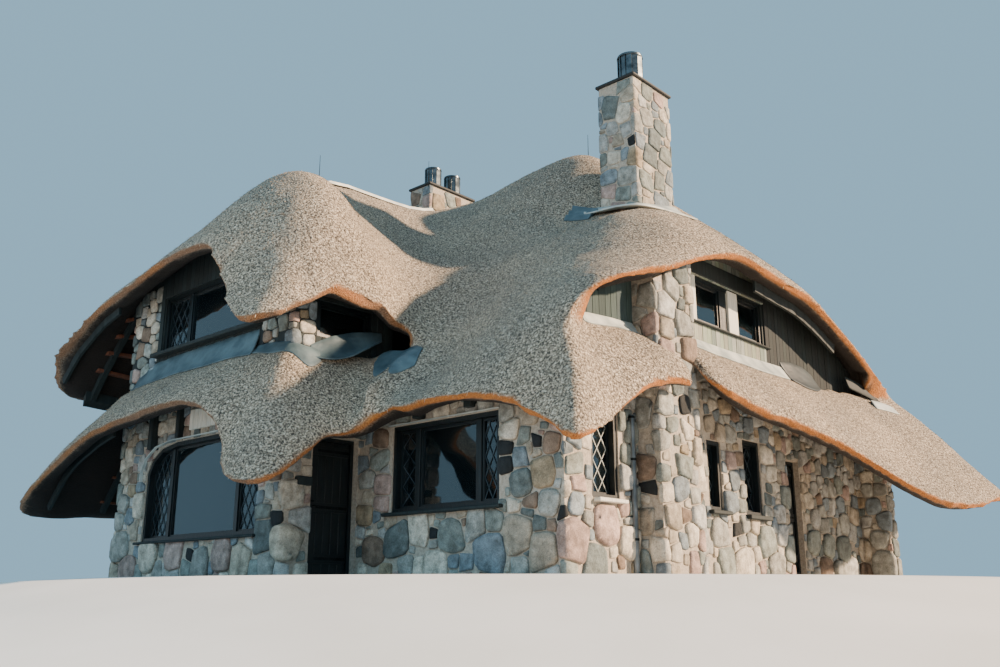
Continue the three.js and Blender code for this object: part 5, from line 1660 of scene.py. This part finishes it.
# the pale lead is painted as sunlit, and the dark lead of the far sheet as shade
lead_sheet("lead_corner",
           [(0.03, 0.30, 3.53), (0.03, 0.5, 3.57), (0.03, 1.0, 3.61), (0.03, 1.62, 3.64)],
           [(0.16, 0.30, 0), (0.15, 0.5, 0), (0.13, 1.0, 0), (0.13, 1.62, 0)],
           UNDER_RIM, ["apron_corner"], sunlit_pale_lead)
lead_sheet("lead_right",
           [(0.03, 2.67, 3.75), (0.03, 3.6, 3.75), (0.03, 4.5, 3.75), (0.03, 5.4, 3.77), (0.03, 6.3, 3.79)],
           [(0.20, 2.68, 0), (0.22, 3.4, 0), (0.17, 4.3, 0), (0.23, 5.3, 0), (0.20, 6.3, 0)],
           UNDER_ROOF, ["apron_right"], sunlit_pale_lead)
lead_sheet("lead_right_far", [(0.03, 6.2, 3.88), (0.03, 6.6, 3.94), (0.03, 7.1, 3.94), (0.03, 7.5, 3.84)],
           [(0.20, 6.4, 0), (0.29, 6.7, 0), (0.30, 7.1, 0), (0.22, 7.5, 0)], UNDER_ROOF, (), shade_dark_lead)
lead_sheet("lead_far_corner", [(0.50, 9.05, 3.52), (0.54, 9.35, 3.52), (0.64, 9.65, 3.46)],
           [(0.66, 8.95, 0), (0.74, 9.35, 0), (0.84, 9.65, 0)], 3.7, (), sunlit_pale_lead)
lead_sheet("lead_far_frame", [(0.24, 8.55, 3.96), (0.34, 9.05, 3.86), (0.46, 9.5, 3.60)],
           [(0.30, 8.65, 3.72), (0.46, 9.1, 3.60), (0.60, 9.45, 3.45)], 3.7, (), beam_oak)

# %% [markdown]
# A chimney gets a saddle: the sheet turns up against the stack's front and right side and spreads over the
# reed.
# Beside it three narrow ribs step up the roof, one above the other.

# %% Lay the saddle, the ribs and the left chimney's foot
# the saddle is in the pale lead that is painted as sunlit
lead_sheet("lead_saddle",
           [(-2.30, 3.98, 6.86), (-2.22, 3.98, 6.84), (-1.38, 3.98, 6.70), (-1.38, 5.25, 7.0)],
           [(-2.40, 3.72, 6.72), (-2.28, 3.68, 6.66), (-1.10, 3.58, 6.47), (-1.02, 5.5, 6.72)],
           OVER_ROOF, ["chimney_saddle_right"], sunlit_pale_lead)
RIB_FIRST, RIB_STEP = 3.55, 0.11
for index, name in enumerate(("lead_rib_low", "lead_rib_middle", "lead_rib_high")):
    y = RIB_FIRST + RIB_STEP * index
    lead_sheet(name, [(-2.82, y + RIB_STEP, 0.04), (-2.5, y + RIB_STEP, 0.06), (-2.2, y + RIB_STEP, 0.06)],
               [(-2.78, y, 0), (-2.5, y, 0), (-2.2, y, 0)], OVER_ROOF)
lead_sheet("lead_foot_left",
           [(-8.47, 6.22, 0.1), (-8.47, 4.73, 0.1), (-7.78, 4.73, 0.1), (-7.78, 6.22, 0.1)],
           [(-8.62, 6.36, 0), (-8.62, 4.56, 0), (-7.62, 4.56, 0), (-7.62, 6.36, 0)], OVER_ROOF)

# %% [markdown]
# ## Under the eaves
# Dark oak rafters reach out from the walls under the long overhangs on the left, with thin laths across
# them that carry the reed. A broad plank follows the inside of the great arch on the right.


# %% Fit the rafters, laths and planks
OVERLAP = 0.01
RAFTERS, RAFTER_FIRST, RAFTER_STEP = 10, -0.9, 1.1
EAVE, UPPER_EAVE, OUTER_EAVE, LOWER_EAVE = 3.95, 3.9, 3.2, 0.4


def add_beam(bm, start, end, width, height):
    """A straight beam between two places."""
    start, end = Vector(start), Vector(end)
    turn = (end - start).to_track_quat("X", "Z").to_matrix().to_4x4()
    shape = Matrix.Diagonal(((end - start).length, width, height, 1))
    bmesh.ops.create_cube(bm, size=1, matrix=Matrix.Translation((start + end) / 2) @ turn @ shape)


def thatch_above(x, y, floor):
    """Height of the thatch's underside over a place given from the corner, or None."""
    hit, normal, _, _ = ROOF_TREE.ray_cast(house(x, y, floor), Vector((0, 0, 1)))
    return hit.z if hit and normal.z < 0 else None


def run_under(bm, stations, floor, drop, width, height):
    """Beams under the thatch from station to station, a little below its underside."""
    places = []
    for x, y in stations:
        z = thatch_above(x, y, floor)
        if z is not None:
            places.append(house(x, y, z - drop))
    for start, end in zip(places, places[1:]):
        add_beam(bm, start, end + (end - start).normalized() * OVERLAP, width, height)


beams = bmesh.new()
laths = bmesh.new()
# stations in plan, the height that the rays start from, the drop below the reed, width and height
for index in range(RAFTERS):
    y = RAFTER_FIRST + RAFTER_STEP * index
    run_under(beams, [(-9.36, y), (-10.2, y), (-11.0, y)], LOWER_EAVE, 0.06, 0.09, 0.13)
for x in (-9.7, -10.1, -10.5, -10.9):
    run_under(laths, [(x, y) for y in np.arange(-1.0, 9.4, 0.6)], LOWER_EAVE, 0.01, 0.10, 0.04)
for x in (-9.55, -9.9, -10.25, -10.6):
    run_under(laths, [(x, y) for y in np.arange(-1.5, 10.0, 0.6)], UPPER_EAVE, 0.02, 0.20, 0.06)
run_under(beams, [(0.42, y) for y in np.arange(4.7, 8.0, 0.3)], EAVE, 0.08, 0.05, 0.24)
run_under(beams, [(x, -1.95) for x in np.arange(-11.0, -8.8, 0.3)], OUTER_EAVE, 0.04, 0.05, 0.20)
run_under(beams, [(x, -1.95) for x in np.arange(-11.0, -8.6, 0.3)], 0.2, 0.04, 0.05, 0.20)
print("beam lengths under the eaves:", len(beams.faces) // 6, "and lath lengths:", len(laths.faces) // 6)
finish_part(beams, "eave_beams", Matrix.Identity(4), beam_oak)
finish_part(laths, "eave_laths", Matrix.Identity(4), red_laths)

# %% [markdown]
# Thin iron lightning rods stand on the ridges and the left chimney, and three straps hold the rainwater
# pipe.

# %% Add the rods and the pipe's straps
# x and y from the corner, foot and tip
RODS = [(-6.9, 0.9, 7.7, 8.35), (-3.4, 5.2, 8.6, 9.2), (-7.82, 4.72, 9.2, 9.85)]
ROD_RADIUS, TIP_RADIUS = 0.009, 0.004
STRAPS, STRAP_HEIGHT, STRAP_RADIUS = (0.5, 1.6, 2.2), 0.035, 0.052
rods = bmesh.new()
for x, y, low, high in RODS:
    place = house(x, y)
    add_drum(rods, place.x, place.y, low, high, ROD_RADIUS, TIP_RADIUS, 8)
pipe_low, pipe_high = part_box("downpipe")
pipe_middle = (pipe_low + pipe_high) / 2
for level in STRAPS:
    add_drum(rods, pipe_middle.x, pipe_middle.y, level, level + STRAP_HEIGHT, STRAP_RADIUS, None, 24)
finish_part(rods, "rods_and_straps", Matrix.Identity(4), black_iron)
print("rods:", len(RODS), "straps:", len(STRAPS))

# %% [markdown]
# ## Reeds
# On the real roof every bundle ends in a brush of cut tips that point down the slope and a little out. Hair
# would draw them finely, but isn't a mesh, and the roof has to be one. So a small cone stands for a pinch
# of tips. Each has a tint of its own, because neighbouring reeds never match.


# %% Make the reed material
STREAKS_PER_METRE = 40.0   # streaks of 25 mm, shorter than a tip


def reed_material():
    """Dry reed tips, dull as straw, each with its own tint."""
    material, tree, shader, place = start_material("dry_reed_tips", 0.9)
    tint = add_node(tree, ATTRIBUTE, gives="Color", attribute_name="tint")
    streaks = add_node(tree, NOISE, {"Vector": place, "Scale": STREAKS_PER_METRE, "Detail": 2.0})
    worn = add_node(tree, RAMP, {"Fac": streaks}, stops=[(0.3, "#b0aaa2"), (0.7, "#ffffff")])
    colour = add_node(tree, MIX, {"Factor": 0.6, FIRST: tint, SECOND: worn}, **MULTIPLY)
    set_inputs(tree, shader, {"Base Color": colour})
    return material


reed_tips = reed_material()
print(reed_tips.name, "has", len(reed_tips.node_tree.nodes), "nodes")

# %% [markdown]
# Tens of thousands of cones are too many to build one by one. One closed cone of three sides is made with
# an operator and read into tables, and numpy places all the copies at once.


# %% Shape one reed and copy it
def cone_shape():
    """The places and faces of one closed three-sided cone, a metre long, along +Z."""
    bm = bmesh.new()
    bmesh.ops.create_cone(bm, cap_ends=True, segments=3, radius1=0.5, radius2=0, depth=1)
    bmesh.ops.remove_doubles(bm, verts=bm.verts, dist=0.001)
    bmesh.ops.translate(bm, vec=(0, 0, 0.5), verts=bm.verts)
    bmesh.ops.recalc_face_normals(bm, faces=bm.faces)
    places = np.array([vertex.co[:] for vertex in bm.verts])
    faces = np.array([[vertex.index for vertex in face.verts] for face in bm.faces])
    bm.free()
    return places, faces


def place_cones(at, along, lengths, widths):
    """Copies of the cone from each place along each direction, as one table of places and one of faces."""
    shape, faces = cone_shape()
    side = np.cross(along, (0.31, 0.17, 0.93))
    side /= np.linalg.norm(side, axis=1, keepdims=True)
    other = np.cross(along, side)
    x = side[:, None, :] * (shape[None, :, 0, None] * widths[:, None, None])
    y = other[:, None, :] * (shape[None, :, 1, None] * widths[:, None, None])
    z = along[:, None, :] * (shape[None, :, 2, None] * lengths[:, None, None])
    places = at[:, None, :] + x + y + z
    index = faces[None] + (np.arange(len(at)) * len(shape))[:, None, None]
    return places.reshape(-1, 3), index.reshape(-1, 3)


def mesh_of_triangles(name, places, faces):
    """A mesh from tables of places and triangles."""
    mesh = bpy.data.meshes.new(name)
    mesh.vertices.add(len(places))
    mesh.vertices.foreach_set("co", places.ravel())
    mesh.loops.add(faces.size)
    mesh.loops.foreach_set("vertex_index", faces.ravel())
    mesh.polygons.add(len(faces))
    mesh.polygons.foreach_set("loop_start", np.arange(0, faces.size, 3))
    mesh.update(calc_edges=True)
    return mesh


print("one reed has", len(cone_shape()[1]), "triangles")

# %% [markdown]
# The reeds stand where they are wanted: the stubble on top, and loose ends at the cut eaves. A triangle is
# picked by its area and by how much its corners want reeds, and then a place inside it.


# %% Choose where the reeds stand
def strew_points(mesh, count, wanted, rng):
    """Random places on a mesh where the wanted share, given at each vertex, is high, with their normals."""
    mesh.calc_loop_triangles()
    corners = np.zeros(len(mesh.loop_triangles) * 3, int)
    mesh.loop_triangles.foreach_get("vertices", corners)
    corners = corners.reshape(-1, 3)
    places, directions = vertex_table(mesh, "co"), vertex_table(mesh, "normal")
    a, b, c = (places[corners[:, k]] for k in range(3))
    weight = np.linalg.norm(np.cross(b - a, c - a), axis=1) * wanted[corners].mean(axis=1)
    chosen = corners[rng.choice(len(corners), count, p=weight / weight.sum())]
    u, v = rng.random((2, count, 1))
    flip = u + v > 1
    u, v = np.where(flip, 1 - u, u), np.where(flip, 1 - v, v)
    shares = [1 - u - v, u, v]
    at = sum(share * places[chosen[:, k]] for k, share in enumerate(shares))
    normal = sum(share * directions[chosen[:, k]] for k, share in enumerate(shares))
    return at, normal / np.linalg.norm(normal, axis=1, keepdims=True)


skin_places, _ = strew_points(skin, 1000, np.ones(len(skin.vertices)), np.random.default_rng(1))
print("of 1000 trial places, on the front half:", int((skin_places[:, 1] < RIDGE.y).sum()))

# %% [markdown]
# Each reed leans down the fall of the roof where it stands, with a little disorder, and its foot is pushed
# into the skin. Stubble is about 60 mm long and 12 mm thick, and the loose ends at the eaves are shorter and
# browner.


# %% Strew the reeds
REED_LENGTH, REED_WIDTH, REED_ROOT = 0.062, 0.012, 0.012
END_LENGTH = 0.6
TOP_STANDS_OUT, END_STANDS_OUT, DISORDER = 0.42, 0.2, 0.16
REED_TINTS = [("#e6dac4", 5), ("#c9b99f", 5), ("#a3927b", 3), ("#8d8478", 3), ("#6d6459", 2)]
END_TINTS = [("#a5764a", 3), ("#83583a", 4), ("#5d4330", 4)]


def pick_tints(choices, count, rng):
    """A random tint for each reed, lighter or darker by a little."""
    table = np.array([linear(tint) for tint, _ in choices])
    share = np.array([weight for _, weight in choices], float)
    tints = table[rng.choice(len(table), count, p=share / share.sum())]
    tints[:, :3] *= rng.uniform(0.75, 1.15, (count, 1))
    return tints


def strew_reeds(name, skin_half, top_count, end_count, seed):
    """Reeds on one half of the thatch: stubble on top, and the ends that stick out of the cut eaves."""
    rng = np.random.default_rng(seed)
    mesh = skin_half.data
    up = vertex_table(mesh, "normal")[:, 2]
    on_top, at_cut = step(up, 0.02, 0.25), step(-up, -0.15, 0.05) * (1 - step(-up, 0.45, 0.7))
    kinds = [(top_count, on_top, REED_TINTS, REED_LENGTH, TOP_STANDS_OUT),
             (end_count, at_cut, END_TINTS, REED_LENGTH * END_LENGTH, END_STANDS_OUT)]
    tables = []
    for count, wanted, tints, length, spread in kinds:
        at, normal = strew_points(mesh, count, wanted, rng)
        fall = normal * normal[:, 2:3] - (0, 0, 1)
        fall /= np.linalg.norm(fall, axis=1, keepdims=True) + 1e-6
        along = fall + normal * spread + rng.normal(0, DISORDER, (count, 3))
        along /= np.linalg.norm(along, axis=1, keepdims=True)
        tables.append((at - normal * REED_ROOT, along, length * rng.uniform(0.6, 1.3, count),
                       REED_WIDTH * rng.uniform(0.7, 1.25, count), pick_tints(tints, count, rng)))
    at, along, lengths, widths, colours = (np.concatenate(parts) for parts in zip(*tables))
    reeds = mesh_of_triangles(name, *place_cones(at, along, lengths, widths))
    layer = reeds.attributes.new("tint", "FLOAT_COLOR", "POINT")
    table = np.repeat(colours, len(reeds.vertices) // len(at), 0)
    layer.data.foreach_set("color", table.astype(np.float32).ravel())
    show(reeds, name, reed_tips, smooth=False)
    print(name, len(at), "reeds", len(reeds.polygons), "triangles")


strew_reeds("reeds_front", thatch_front, 38000, 5000, 21)
strew_reeds("reeds_back", thatch_back, 24000, 4000, 22)
